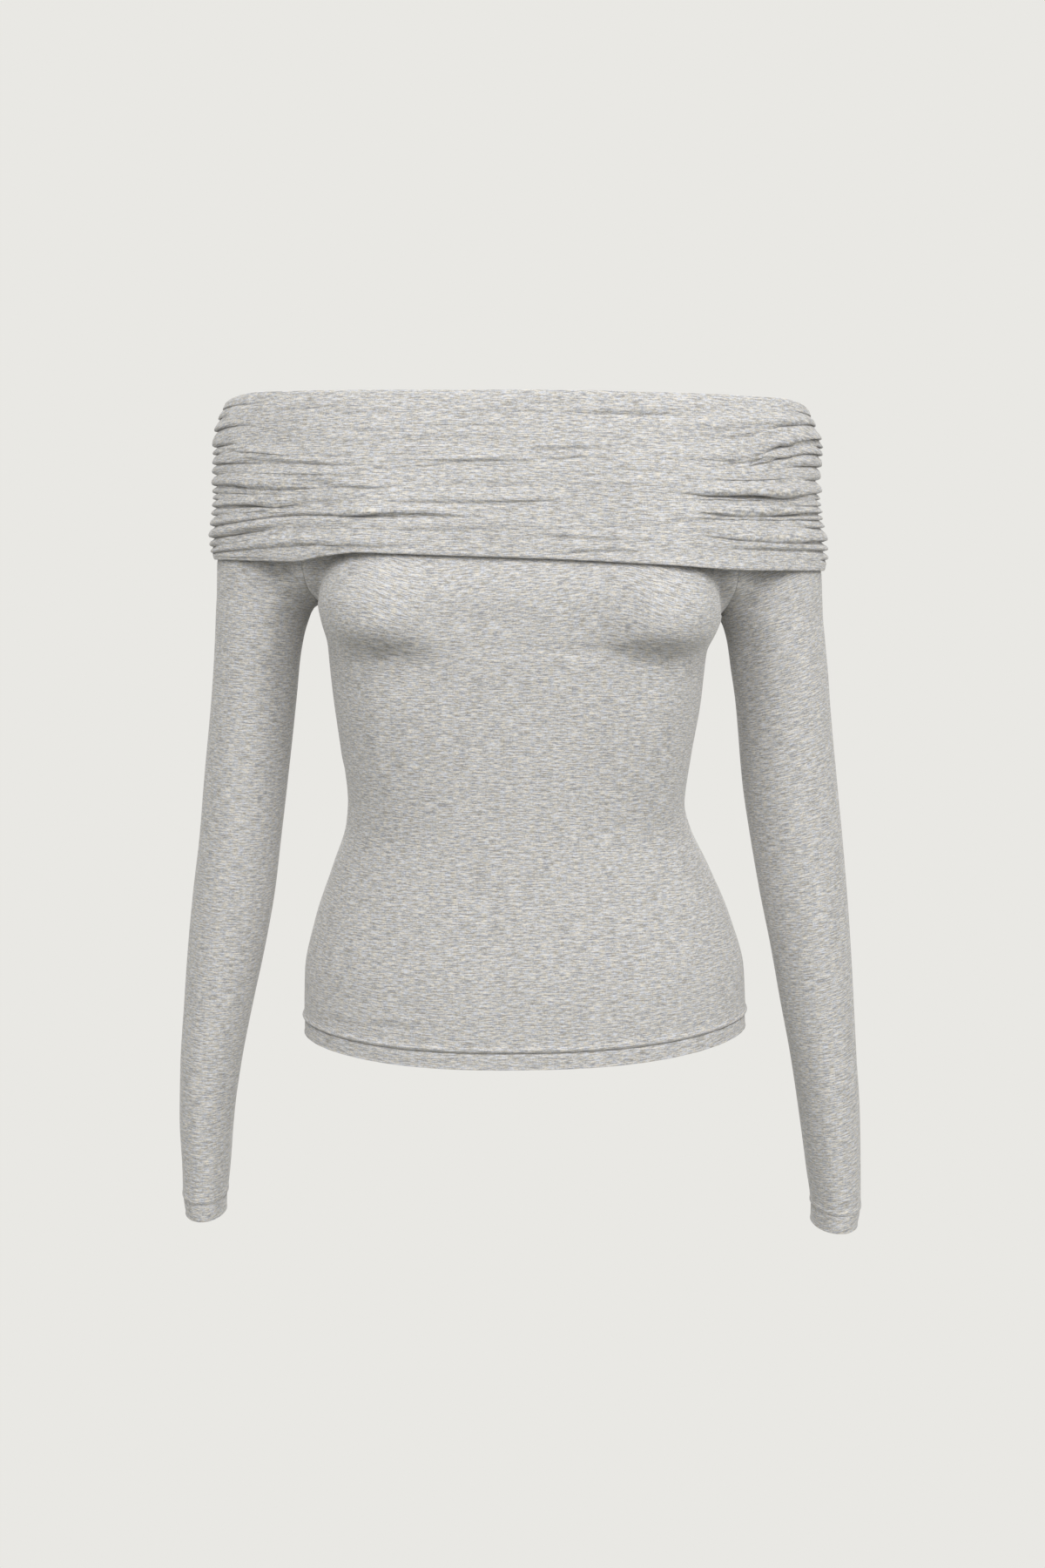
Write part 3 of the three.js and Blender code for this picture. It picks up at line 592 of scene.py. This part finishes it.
def panel(half, columns):
    facing = 1 if half == "front" else -1
    sides = (np.array((-facing, 0.0)), np.array((facing, 0.0)))
    points = []
    for z, back in lower_rows(HEM_Z, HEM_TURN, HEM_FINE_HEIGHT, BODY_ROW_STEP):
        ring = torso_ring(max(z, HEM_Z))
        row = ring.at(spread_out(*ring.half[half], columns))
        row[0, 1] = row[-1, 1] = 0
        row = moved_out(row, np.full(len(row), -back), sides)
        points.append(settle(row, z + hem_rise(row[:, 0], z)))
    for z, opened in upper_rows():
        loop, trunk = taut_ring(z), torso_ring(z)
        seam = read(ARMHOLE, "x", z)
        start, end = (loop.crossing(way * facing * seam, half) for way in (-1, 1))
        taut = loop.at(spread_out(start, end, columns))
        own = trunk.at(spread_out(*trunk.half[half], columns))
        share = opened_share(own, z, opened)[:, None]
        row = mix(own, taut, share)
        ends = (loop.outward(start), loop.outward(end)) if opened > 0 else sides
        row = moved_out(row, np.full(len(row), tuck(z)), ends)
        points.append(settle(row, z))
    points = np.array(points)
    across = lengths(points, 1)
    across = across - across[:, [columns // 2]]
    along = lengths(points, 0)
    along = np.repeat(along[:, [columns // 2]], columns + 1, 1)
    return Cloth(points, across, along)


def sleeve(side, columns):
    def own_ring(shape):
        ring = Ring([shape])
        start = ring.right if side > 0 else ring.left
        row = ring.at(np.linspace(start, start + ring.length, columns + 1))
        row[-1] = row[0]
        return row

    points = []
    for z, back in lower_rows(CUFF_Z, CUFF_TURN, CUFF_FINE_HEIGHT, SLEEVE_ROW_STEP):
        shape = sleeve_form(side, max(z, CUFF_Z))
        for name in ("half_x", "front", "back"):
            shape[name] -= back
        row = own_ring(shape)
        points.append(settle(row, z))
    for z, opened in upper_rows():
        trunk, loop = torso_ring(z), taut_ring(z)
        inner = abs(trunk.at(trunk.right if side < 0 else trunk.left)[0])
        seam = side * read(ARMHOLE, "x", z)
        front, back = loop.crossing(seam, "front"), loop.crossing(seam, "back")
        start, end = (front, back) if side > 0 else (back, front + loop.length)
        taut = loop.at(np.linspace(start, end, columns + 1))
        own = own_ring(arm_form(side, z, inner))
        share = opened_share(own, z, opened)[:, None]
        row = mix(own, taut, share)
        ends = (loop.outward(start), loop.outward(end)) if opened > 0 else None
        row = moved_out(row, np.full(len(row), tuck(z)), ends)
        points.append(settle(row, z))
    points = np.array(points)
    across = lengths(points, 1)
    across = across - across[:, [-1]] / 2
    along = np.repeat(lengths(points, 0)[:, [columns // 2]], columns + 1, 1)
    return Cloth(points, across, along)


# The band


LOOP_STEP = 6.0
LOOP_TOP = 18.0
LOOPS = [taut_ring(LOOP_TOP - LOOP_STEP * k) for k in range(22)]
ROWS_PER_GATHER = 9
GATHER_REACH = 1.2  # gathers run this much further than their lengths in the table
GATHER_HOLD = 0.2  # share of its length over which a gather stays as deep as at the seam
DEEPER = 1.6  # how much deeper than the CAD part's the gathers are
ROOM_SHARE = 0.5  # no gather is deeper than this share of its room
VALLEY = 0.9
DEEPEST = 1.6  # the face stays in front of the band's own backing
VALLEY_WIDTH = 1.2
VALLEY_POWER = 1.3  # above 1 a crease has a rounder bottom
RIDGE = 0.95
RIDGE_REACH = 70.0  # distance from the seam at which the puffs have become single folds
PUFF_SAG = 1.25  # above 1 a puff is fuller in its lower half
PUFF_FULLNESS = 0.6
FOLD_SHOULDER = 2.3  # from a fold's crease to the top of the cloth beside it
UNDER_FOLD = 0.45  # how far the cloth stands out below and above a crease, for its depth
OVER_FOLD = 0.9
GATHER_SAG = 0.45  # how far a ridge hangs over the valley below it, as a share of its height
INSIDE_ROWS = 3
ROLL_STEPS = 12
LOWER_FOLD_STEPS = 8
BACKING_ROWS = 16


def lower_edge(half, x, from_seam):
    edge = FRONT_LOWER_EDGE if half == "front" else BACK_LOWER_EDGE
    return read(edge, "z", x, "x") + CORNER_LIFT * (1 - rising(from_seam, 0, CORNER_LENGTH))


def gather_height(gathers, n, from_seam, foot):
    if n == 0:
        return BAND_TOP - BAND_ROLL
    if n == len(gathers["at"]) + 1:
        return foot
    lowest = foot + LAST_GATHER + GATHER_ROOM * (len(gathers["at"]) - n)
    drift = rising(from_seam, 0, GATHER_DRIFT)
    return max(lowest, mix(gathers["at"][n - 1], gathers["end"][n - 1], drift))


def gather_depth(gathers, n, from_seam, shift):
    count = len(gathers["at"])
    if n < 1 or n > count:
        return 0.0
    k = (n - 1 + shift) % count
    reach = from_seam / (GATHER_REACH * gathers["length"][k])
    return DEEPER * gathers["depth"][k] * (1 - rising(reach, GATHER_HOLD, 1))


def crease(distance):
    return math.exp(-((distance / VALLEY_WIDTH) ** VALLEY_POWER))


def shoulder(distance):
    return distance / FOLD_SHOULDER * math.exp(1 - distance / FOLD_SHOULDER)


def band_face(half, x, from_seam, to_middle):
    """Heights and stands of the outer face at one place, from the top roll to the lower fold."""
    gathers, others = (RIGHT_GATHERS, LEFT_GATHERS) if x < 0 else (LEFT_GATHERS, RIGHT_GATHERS)
    shift = 0 if half == "front" else BACK_SHIFT
    foot = lower_edge(half, x, from_seam) + BAND_FOOT
    blend = rising(from_seam, GATHER_DRIFT, to_middle) / 2
    count = len(gathers["at"])

    def height(n):
        own = gather_height(gathers, n, from_seam, foot)
        return mix(own, gather_height(others, n, GATHER_DRIFT, foot), blend)

    rows = []
    for n in range(count + 1):
        room = height(n) - height(n + 1)
        deep, following = (
            min(gather_depth(gathers, k, from_seam, shift), ROOM_SHARE * room) for k in (n, n + 1)
        )
        puffed = 1 - rising(from_seam, 0, RIDGE_REACH)
        for part in range(ROWS_PER_GATHER):
            t = (1 - math.cos(math.pi * part / ROWS_PER_GATHER)) / 2
            below, above = t * room, (1 - t) * room
            arch = math.sin(math.pi * t**PUFF_SAG) ** PUFF_FULLNESS
            beside = UNDER_FOLD * deep * shoulder(below) + OVER_FOLD * following * shoulder(above)
            ridge = RIDGE * mix(beside, mix(deep, following, t) * arch, puffed)
            valley = deep * crease(below) + following * crease(above)
            stand = ridge - min(VALLEY * valley, DEEPEST)
            rows.append((height(n) - t * room - GATHER_SAG * ridge, stand))
    rows.append((foot, 0.0))
    return rows


def band_section(half, x, from_seam, to_middle):
    """One whole turn of the band's section: from the neckline seam up inside, over the top roll,
    down the face, round the lower fold and up the backing to the seam again."""
    middle = (BAND_OUTSIDE + BAND_LIP) / 2
    half_roll = (BAND_OUTSIDE - BAND_LIP) / 2
    foot = lower_edge(half, x, from_seam)
    inside = np.linspace(BAND_SEAM, BAND_TOP - BAND_ROLL, INSIDE_ROWS + 1)
    section = [(z, BAND_LIP) for z in inside[:-1]]
    for turn in np.linspace(math.pi, 0, ROLL_STEPS + 1)[:-1]:
        roll = BAND_TOP - BAND_ROLL + BAND_ROLL * math.sin(turn)
        section.append((roll, middle + half_roll * math.cos(turn)))
    for z, stand in band_face(half, x, from_seam, to_middle):
        section.append((z, BAND_OUTSIDE + stand))
    half_fold = (BAND_OUTSIDE - BAND_INSIDE) / 2
    for turn in np.linspace(0, math.pi, LOWER_FOLD_STEPS + 1)[1:-1]:
        fold = foot + BAND_FOOT - BAND_FOOT * math.sin(turn)
        section.append((fold, BAND_INSIDE + half_fold * (1 + math.cos(turn))))
    backing = np.linspace(foot + BAND_FOOT, BAND_SEAM, BACKING_ROWS)
    return section + [(z, BAND_INSIDE) for z in backing]


def beside_loops(half, share, z, stand):
    """Points beside the taut loops at one share of their length, for several heights and stands."""
    z, stand = np.asarray(z, float), np.asarray(stand, float)
    place = np.clip((LOOP_TOP - z) / LOOP_STEP, 0, len(LOOPS) - 1.001)
    k = place.astype(int)
    seam = [mix(*loop.half[half], share) for loop in LOOPS]
    on = np.array([loop.at(s) for loop, s in zip(LOOPS, seam)])
    out = np.array([loop.outward(s) for loop, s in zip(LOOPS, seam)])
    above = on[k] + out[k] * stand[:, None]
    below = on[k + 1] + out[k + 1] * stand[:, None]
    return mix(above, below, (place - k)[:, None])


def run_of_heights(z):
    """The place of each point in the flat cloth, by heights alone, so that the marl stays level in
    the folds."""
    top, foot = np.argmax(z), np.argmin(z)
    place = np.arange(len(z))
    down = 2 * z[top] - z
    return np.where(place < top, z, np.where(place <= foot, down, down[foot] + z - z[foot]))


def band(half, columns):
    start, end = LOOPS[round((LOOP_TOP - BAND_MIDDLE) / LOOP_STEP)].half[half]
    length = end - start
    points, across, along = [], [], []
    for share in spread_out(0, 1, columns, BAND_CROWDING):
        from_seam = min(share, 1 - share) * length
        x = beside_loops(half, share, [BAND_MIDDLE], [BAND_OUTSIDE])[0, 0]
        z, stand = np.array(band_section(half, x, from_seam, length / 2)).T
        place = beside_loops(half, share, z, stand)
        if share in (0, 1):
            place[:, 1] = 0
        points.append(settle(place, z))
        across.append(np.full(len(z), (share - 0.5) * length))
        along.append(run_of_heights(z))
    points = np.array(points).transpose(1, 0, 2)[::-1]
    return Cloth(points, np.array(across).T[::-1], np.array(along).T[::-1])


# Folds pressed into the cloth


FOLD_FADE = 0.35  # share of a fold's length over which it fades out at each end
BULGE_FROM = 178.0  # nearer the ruched seam the cloth above a fold is held back
BULGE_TO = 212.0
GROOVE_WIDTH = 1.0
ROLL_ABOVE = 2.6  # from a stitched line up to the top of its roll
ROLL_WIDTH = 1.8
SET_IN = 0.45  # the turned part lies this much further in than the cloth above
SET_IN_STEP = 2.0
UNDERARM_FILL = 9.0
UNDERARM_WIDTH = 15.0
FILL_BEGINS = (2.0, 16.0)  # heights above the underarm
FILL_ENDS = (45.0, 85.0)
SEAM_SIDE = 160.0  # a fold that reaches this far out runs on to PAST_THE_SEAM
PAST_THE_SEAM = 232.0
SLOPE_KEPT = 0.4


def fold(cloth, path, width, depth, over, front):
    """Presses a soft trough along a path of x and z. The cloth above the line stands out by over
    and hangs a little over it, as a pulled fold does."""
    x, z = cloth.points[..., 0], cloth.points[..., 2]
    nearest = np.full(x.shape, 1e9)
    strength = np.zeros(x.shape)
    above = np.zeros(x.shape)
    path = np.array(path, float)
    run = np.concatenate(([0], np.cumsum(np.linalg.norm(np.diff(path, axis=0), axis=-1))))
    for k in range(len(path) - 1):
        step = path[k + 1] - path[k]
        t = ((x - path[k, 0]) * step[0] + (z - path[k, 1]) * step[1]) / (step @ step)
        t = np.clip(t, 0, 1)
        gap = np.hypot(x - path[k, 0] - t * step[0], z - path[k, 1] - t * step[1])
        s = (run[k] + t * (run[k + 1] - run[k])) / run[-1]
        closer = gap < nearest
        above = np.where(closer, np.maximum(0, z - path[k, 1] - t * step[1]), above)
        nearest = np.where(closer, gap, nearest)
        strength = np.where(closer, smooth(np.minimum(s, 1 - s) / FOLD_FADE), strength)
    facing = (cloth.outward()[..., 1] < 0) == front
    inner = 1 - rising(np.abs(x), BULGE_FROM, BULGE_TO)
    bulge = over * inner * above / (2 * width) * np.exp(1 - nearest / (2 * width))
    cloth.lift += strength * (bulge - depth * np.exp(-((nearest / width) ** 2))) * facing


def hem_line(cloth, height, depth, roll):
    """The stitched line of a turned edge: a narrow groove, with the cloth standing over it as a
    soft roll and the turned part lying a little further in."""
    first = len(turned_edge(height))
    level = cloth.along - cloth.along[[first]] + FOLDED_GAP / 2
    groove = np.exp(-(((level - height) / GROOVE_WIDTH) ** 2))
    rise = np.exp(-(((level - height - ROLL_ABOVE) / ROLL_WIDTH) ** 2))
    set_in = SET_IN * (1 - smooth((level - height + SET_IN_STEP / 2) / SET_IN_STEP))
    face = np.arange(cloth.points.shape[0])[:, None] >= first
    cloth.lift += (roll * rise - depth * groove - set_in) * face


def soft_underarm(cloth):
    """Beside the armhole seam the cloth spans the notch between arm and bust, so both pieces stand
    out there."""
    from_start = lengths(cloth.points, 1)
    beside = np.minimum(from_start, from_start[:, [-1]] - from_start)
    above = cloth.points[..., 2] - UNDERARM_Z
    height = rising(above, *FILL_BEGINS) * (1 - rising(above, *FILL_ENDS))
    outward = np.sign(cloth.points[..., 1] - 1e-6)
    fill = UNDERARM_FILL * np.exp(-((beside / UNDERARM_WIDTH) ** 2)) * height
    cloth.points[..., 1] += outward * fill


def slanted(cloth, slope, x=0.0, z=None, reach=None):
    """Turns the marl's streaks so that they rise by the slope, all over or round one place."""
    share = 1.0
    if reach is not None:
        gap = np.hypot(cloth.points[..., 0] - x, cloth.points[..., 2] - z)
        share = np.exp(-((gap / reach) ** 2)) * (cloth.points[..., 1] < 0)
    cloth.along = cloth.along - slope * (cloth.points[..., 0] - x) * share


RIPPLES = 70
RIPPLE_SEEDS = {"front": 11, "back": 12}
RIPPLE_X = (-190, 190)
RIPPLE_Z = (-96, 6)
RIPPLE_LENGTH = (40, 150)
RIPPLE_TILT = 0.03
RIPPLE_WAVER = 0.6
RIPPLE_HEIGHT = (0.2, 1.0)
RIPPLE_WIDTH = (1.0, 2.2)
RIPPLE_TROUGH = 0.5  # as a share of the height


def ripples(cloth, half):
    """Many faint level folds of uneven length, as fine jersey has under slight tension."""
    draw = np.random.default_rng(RIPPLE_SEEDS[half])
    for _ in range(RIPPLES):
        x, z = draw.uniform(*RIPPLE_X), draw.uniform(*RIPPLE_Z)
        reach = draw.uniform(*RIPPLE_LENGTH) / 2
        rise = draw.normal(0, RIPPLE_TILT) * reach
        middle = (x, z + draw.normal(0, RIPPLE_WAVER))
        path = [(x - reach, z - rise), middle, (x + reach, z + rise)]
        size = draw.uniform(*RIPPLE_HEIGHT)
        width = draw.uniform(*RIPPLE_WIDTH)
        fold(cloth, path, width, RIPPLE_TROUGH * size, size, half == "front")


def to_the_seam(path):
    """A fold that ends near the ruched seam runs on past it, so that it is still deep there."""
    longer = list(path)
    for end, before, place in ((path[0], path[1], 0), (path[-1], path[-2], len(path) + 1)):
        if abs(end[0]) > SEAM_SIDE:
            slope = (end[1] - before[1]) / (end[0] - before[0])
            x = math.copysign(PAST_THE_SEAM, end[0])
            longer.insert(place, (x, end[1] + slope * (x - end[0]) * SLOPE_KEPT))
    return longer


# The folds that the band's cloth shows beyond its gathers: path of x and z, width, depth, and how
# far the cloth above the line stands out. The back has the same ones, mirrored.
BAND_FOLDS = (
    ([(-202, -26.3), (-193, -28.6), (-172.5, -31), (-144, -32.5)], 1, 0.62, 1.45),
    ([(-179, -33.6), (-153.6, -36.3), (-126, -38), (-100, -38)], 1.1, 0.88, 2.03),
    ([(-204, -50), (-176, -54), (-150.6, -53.2), (-123.5, -54)], 1, 0.62, 1.45),
    ([(-147.4, -47.4), (-123.5, -52.8), (-101.8, -54), (-81, -53.5)], 1.2, 0.75, 1.74),
    ([(-206, -64.5), (-183, -64.4), (-163.3, -66), (-135.4, -65)], 1.1, 1, 2.17),
    ([(-132.5, -72.7), (-109, -72), (-80, -71), (-51, -72), (-26.5, -73.6)], 1.2, 1.25, 2.61),
    ([(-204.7, -83.2), (-176.5, -80.4), (-152, -77)], 1.1, 1, 2.17),
    ([(-176.7, -96.3), (-138.6, -91), (-112, -84.6)], 1.6, 0.5, 1.3),
    ([(-134, -97.3), (-119.7, -93.8), (-104.4, -88.6)], 1.4, 0.5, 1.16),
    ([(85, -11.7), (117, -14.7), (146.5, -13.5), (168, -10.5)], 1.3, 0.75, 2.03),
    ([(130, -19.8), (162, -17.6), (188.4, -13.6)], 0.9, 0.62, 1.16),
    ([(126, -32), (154, -27.7), (178, -24), (202.5, -21)], 1.1, 1, 2.17),
    ([(112, -41), (134.7, -38.3), (153, -35.5), (173, -32.5)], 1, 1.2, 0.8),
    ([(91, -57.5), (117, -58.6), (139, -57.7), (159.4, -57.4), (187, -57.8)], 1, 1.38, 2.46),
    ([(99.7, -69), (124.4, -71.3), (147, -71.8), (179, -70.4)], 1, 1.4, 2.61),
    ([(114.5, -85), (139, -87.7), (163, -89.2), (187.3, -89.8)], 1, 1.38, 2.46),
    ([(120.4, -93.8), (163, -94.4), (187.3, -95.4)], 1.3, 0.75, 1.74),
    ([(10, -84.6), (44.7, -87.4), (91, -88.9)], 1.1, 0.62, 1.45),
    ([(17.5, -98.4), (44.7, -96), (66, -95.2), (91, -97.2)], 1.1, 0.5, 1.3),
    ([(-94, -12), (-39, -12.3), (12.8, -12)], 1.1, 0.38, 0.87),
    ([(-74, -36), (-30.5, -35.5), (15.7, -36)], 1.1, 0.5, 1.16),
    ([(-36.4, -62.7), (-4.5, -63), (36, -61.6)], 1.1, 0.5, 1.16),
    ([(24.3, -17.5), (53, -19.2), (82, -18.6)], 1, 0.5, 1.01),
)


HEM_PULL = [(-158, -420), (-140, -421.4), (-116, -421), (-91, -419.8), (-72, -420.8), (-50, -421)]
BODY_FOLDS = (
    (HEM_PULL, 1.2, 1.0, 1.0),
    ([(-37, -416.5), (-22, -416.3)], 1.0, 0.5, 0.5),
    ([(-126.5, -228), (-126, -250), (-124.5, -268)], 0.9, 0.5, 0.3),
)


# Look


def linear(colour):
    """An sRGB hex colour in Blender's linear values."""
    parts = [int(colour[k : k + 2], 16) / 255 for k in (1, 3, 5)]
    return [c / 12.92 if c <= 0.04045 else ((c + 0.055) / 1.055) ** 2.4 for c in parts] + [1]


def add(material, kind, inputs=(), **settings):
    """Adds a node with its settings, each input set to a value or linked from another's output."""
    node = material.node_tree.nodes.new(kind)
    for name, value in settings.items():
        setattr(node, name, value)
    for name, value in dict(inputs).items():
        if isinstance(value, bpy.types.NodeSocket):
            material.node_tree.links.new(value, node.inputs[name])
        else:
            node.inputs[name].default_value = value
    return node


def new_material(name):
    material = bpy.data.materials.new(name)
    material.use_nodes = True
    material.node_tree.nodes.clear()
    return material


def noise(material, uv, across, along, detail):
    """Noise on the flat cloth, with cells of that many millimetres across and along."""
    scale = (1 / (across * MM), 1 / (along * MM), 1)
    place = add(material, "ShaderNodeMapping", {"Vector": uv, "Scale": scale}).outputs[0]
    inputs = {"Vector": place, "Scale": 1, "Detail": detail, "Roughness": 0.6}
    return add(material, "ShaderNodeTexNoise", inputs, noise_dimensions="2D").outputs["Fac"]


def two_tones(material, fac, low, high, start=0.0, end=1.0):
    ramp = add(material, "ShaderNodeValToRGB", {"Fac": fac})
    for element, colour, place in zip(ramp.color_ramp.elements, (low, high), (start, end)):
        element.position = place
        element.color = linear(colour)
    return ramp.outputs["Color"]


def heather_jersey():
    """Single jersey knitted from a yarn of pale and dark fibres: fine level streaks a few
    millimetres long, faint upright wales, and a soft fuzz that catches light at the edges."""
    cloth = new_material("heather grey knitted jersey")
    uv = add(cloth, "ShaderNodeUVMap", uv_map="cloth").outputs["UV"]
    layers = (
        (noise(cloth, uv, 11, 0.8, 2), 0.40),  # long streaks of dark fibre
        (noise(cloth, uv, 4, 0.7, 1), 0.30),  # short ones
        (noise(cloth, uv, 1, 0.8, 1), 0.20),  # single stitches, a little coarser to show
        (noise(cloth, uv, 1.6, 20, 1), 0.04),  # upright wales, drawn twice as wide to show
        (noise(cloth, uv, 50, 4, 2), 0.06),  # soft level clouds
    )
    marl = None
    for layer, share in layers:
        inputs = {0: layer, 1: share, 2: 0.0 if marl is None else marl}
        marl = add(cloth, "ShaderNodeMath", inputs, operation="MULTIPLY_ADD").outputs[0]
    inputs = {"Value": marl, "From Min": 0.40, "From Max": 0.60}
    spread = add(cloth, "ShaderNodeMapRange", inputs).outputs["Result"]
    grey = two_tones(cloth, spread, "#979695", "#d9d8d7")
    # a little warm and cool among the fibres
    tint = two_tones(cloth, noise(cloth, uv, 4, 1.3, 1), "#fffaef", "#f2f6ff", 0.35, 0.65)
    inputs = {0: 1.0, 6: grey, 7: tint}
    dyed = add(cloth, "ShaderNodeMix", inputs, data_type="RGBA", blend_type="MULTIPLY").outputs[2]
    bump = add(cloth, "ShaderNodeBump", {"Height": marl, "Distance": 0.3 * MM, "Strength": 0.6})
    inputs = {
        "Base Color": dyed,
        "Roughness": 0.95,
        "Specular IOR Level": 0.15,
        "Sheen Weight": 0.5,
        "Sheen Roughness": 0.5,
        "Sheen Tint": linear("#f2f1ee"),
        "Normal": bump.outputs[0],
    }
    shader = add(cloth, "ShaderNodeBsdfPrincipled", inputs).outputs[0]
    add(cloth, "ShaderNodeOutputMaterial", {"Surface": shader})
    return cloth


STUDIO_TONE = "#e9e8e4"


def even_tone(material, light, glow, output):
    """Shows the camera one even tone, whatever light the surface gives the cloth."""
    inputs = {"Color": linear(STUDIO_TONE), "Strength": 1.0}
    seen = add(material, glow, inputs).outputs[0]
    camera_ray = add(material, "ShaderNodeLightPath").outputs["Is Camera Ray"]
    inputs = {0: camera_ray, 1: light, 2: seen}
    shown = add(material, "ShaderNodeMixShader", inputs).outputs[0]
    add(material, output, {"Surface": shown})


def studio_paper():
    """Matt off-white paper, which gives the cloth a little light from below."""
    paper = new_material("matt studio paper")
    matt = add(paper, "ShaderNodeBsdfDiffuse", {"Color": linear("#a8a8a5")}).outputs[0]
    even_tone(paper, matt, "ShaderNodeEmission", "ShaderNodeOutputMaterial")
    return paper


# Making the pieces


PANEL_COLUMNS = {"front": 200, "back": 160}
SLEEVE_COLUMNS = 110
BAND_COLUMNS = 256
BAND_CROWDING = 1.5  # the columns crowd towards the gathered seams
HEM_STITCH = {"height": HEM_TURN, "depth": 1.6, "roll": 1.3}
CUFF_STITCH = {"height": CUFF_TURN, "depth": 0.9, "roll": 0.5}
# Slopes of the marl, where the cloth is drawn over the bust and along the arms
BUST_SLOPE = -0.3
BUST_SLOPE_AT = ((-88, -120), (92, -118))
BUST_SLOPE_REACH = 45
RIGHT_SLEEVE_SLOPE = -0.06
LEFT_SLEEVE_SLOPES = (0.2, 0.38)
LEFT_SLEEVE_HEIGHTS = (-330, -130)
SLEEVE_MIDDLE = 195

jersey = heather_jersey()


def finish_piece(piece, node):
    piece.data.materials.clear()
    piece.data.materials.append(jersey)
    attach(piece, "root")
    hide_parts(node)


def sewn(cloth, name, node, thickness=JERSEY, tube=False):
    piece = make_sheet(name, cloth.pressed(), cloth.across, cloth.along, thickness, tube)
    finish_piece(piece, node)


def press(cloth, folds, half, seamed=False):
    """Presses folds into the front, or mirrored into the back."""
    way = 1 if half == "front" else -1
    for path, width, depth, over in folds:
        path = to_the_seam(path) if seamed else path
        fold(cloth, [(way * x, z) for x, z in path], width, depth, over, half == "front")


for half, columns in PANEL_COLUMNS.items():
    cloth = panel(half, columns)
    hem_line(cloth, **HEM_STITCH)
    soft_underarm(cloth)
    for x, z in BUST_SLOPE_AT:
        slanted(cloth, BUST_SLOPE, x, z, BUST_SLOPE_REACH)
    press(cloth, BODY_FOLDS, half)
    sewn(cloth, f"{half}_body_sheet", f"{half}_panel")

for side, name in ((1, "left"), (-1, "right")):
    cloth = sleeve(side, SLEEVE_COLUMNS)
    hem_line(cloth, **CUFF_STITCH)
    soft_underarm(cloth)
    slope = RIGHT_SLEEVE_SLOPE
    if name == "left":
        slope = mix(*LEFT_SLEEVE_SLOPES, rising(cloth.points[..., 2], *LEFT_SLEEVE_HEIGHTS))
    slanted(cloth, slope, side * SLEEVE_MIDDLE)
    sewn(cloth, f"{name}_sleeve_sheet", f"{name}_sleeve", tube=True)

for half in ("front", "back"):
    cloth = band(half, BAND_COLUMNS)
    ripples(cloth, half)
    press(cloth, BAND_FOLDS, half, seamed=True)
    sewn(cloth, f"{half}_band_sheet", f"band_{half}", BAND_JERSEY)


# Studio


WORLD_LIGHT = 0.52
SOFTBOXES = (
    ("right_softbox", (-2.0, -1.6, 1.1), (1.4, 1.8), 22),
    ("left_softbox", (2.0, -1.6, 1.1), (1.4, 1.8), 34),
    ("front_softbox", (0.2, -2.3, 1.5), (1.8, 1.4), 42),
    ("back_softbox", (0.0, 2.6, 1.3), (1.8, 1.4), 45),
)
LIT_POINT = (0, 0, -0.25)
PAPER_SIZE = 16  # metres
PAPER_DROP = -1.15
LENS = 52.93
CAMERA_PLACE = (0.00124, -1.650, -0.088)
CAMERA_DOWN = 6.04  # degrees


def studio():
    bpy.ops.object.select_all(action="DESELECT")
    bpy.ops.mesh.primitive_plane_add(size=1)
    sweep = bpy.context.object
    sweep.name = "studio_sweep"
    bpy.ops.object.mode_set(mode="EDIT")
    bpy.ops.mesh.select_all(action="SELECT")
    bpy.ops.transform.resize(value=(PAPER_SIZE, PAPER_SIZE, 1))
    bpy.ops.transform.translate(value=(0, 0, PAPER_DROP))
    bpy.ops.object.mode_set(mode="OBJECT")
    sweep.data.materials.append(studio_paper())

    world = bpy.context.scene.world or bpy.data.worlds.new("studio")
    bpy.context.scene.world = world
    world.use_nodes = True
    world.node_tree.nodes.clear()
    inputs = {"Color": linear(STUDIO_TONE), "Strength": WORLD_LIGHT}
    sky = add(world, "ShaderNodeBackground", inputs).outputs[0]
    even_tone(world, sky, "ShaderNodeBackground", "ShaderNodeOutputWorld")

    for name, place, size, power in SOFTBOXES:
        bpy.ops.object.light_add(type="AREA", location=place)
        light = bpy.context.object
        light.name = name
        light.data.shape = "RECTANGLE"
        light.data.size, light.data.size_y = size
        light.data.energy = power
        aim = np.array(LIT_POINT) - np.array(place)
        light.rotation_euler = (
            math.atan2(math.hypot(aim[0], aim[1]), -aim[2]),
            0,
            math.atan2(aim[0], -aim[1]) + math.pi,
        )


studio()

camera_data = bpy.data.cameras.new("camera")
camera_data.sensor_width = 36
camera_data.lens = LENS
camera = bpy.data.objects.new("camera", camera_data)
camera.location = CAMERA_PLACE
camera.rotation_euler = (math.radians(90 - CAMERA_DOWN), 0, 0)
bpy.context.collection.objects.link(camera)
bpy.context.scene.camera = camera

scene_view = bpy.context.scene.view_settings
scene_view.view_transform = "Standard"
scene_view.look = "None"
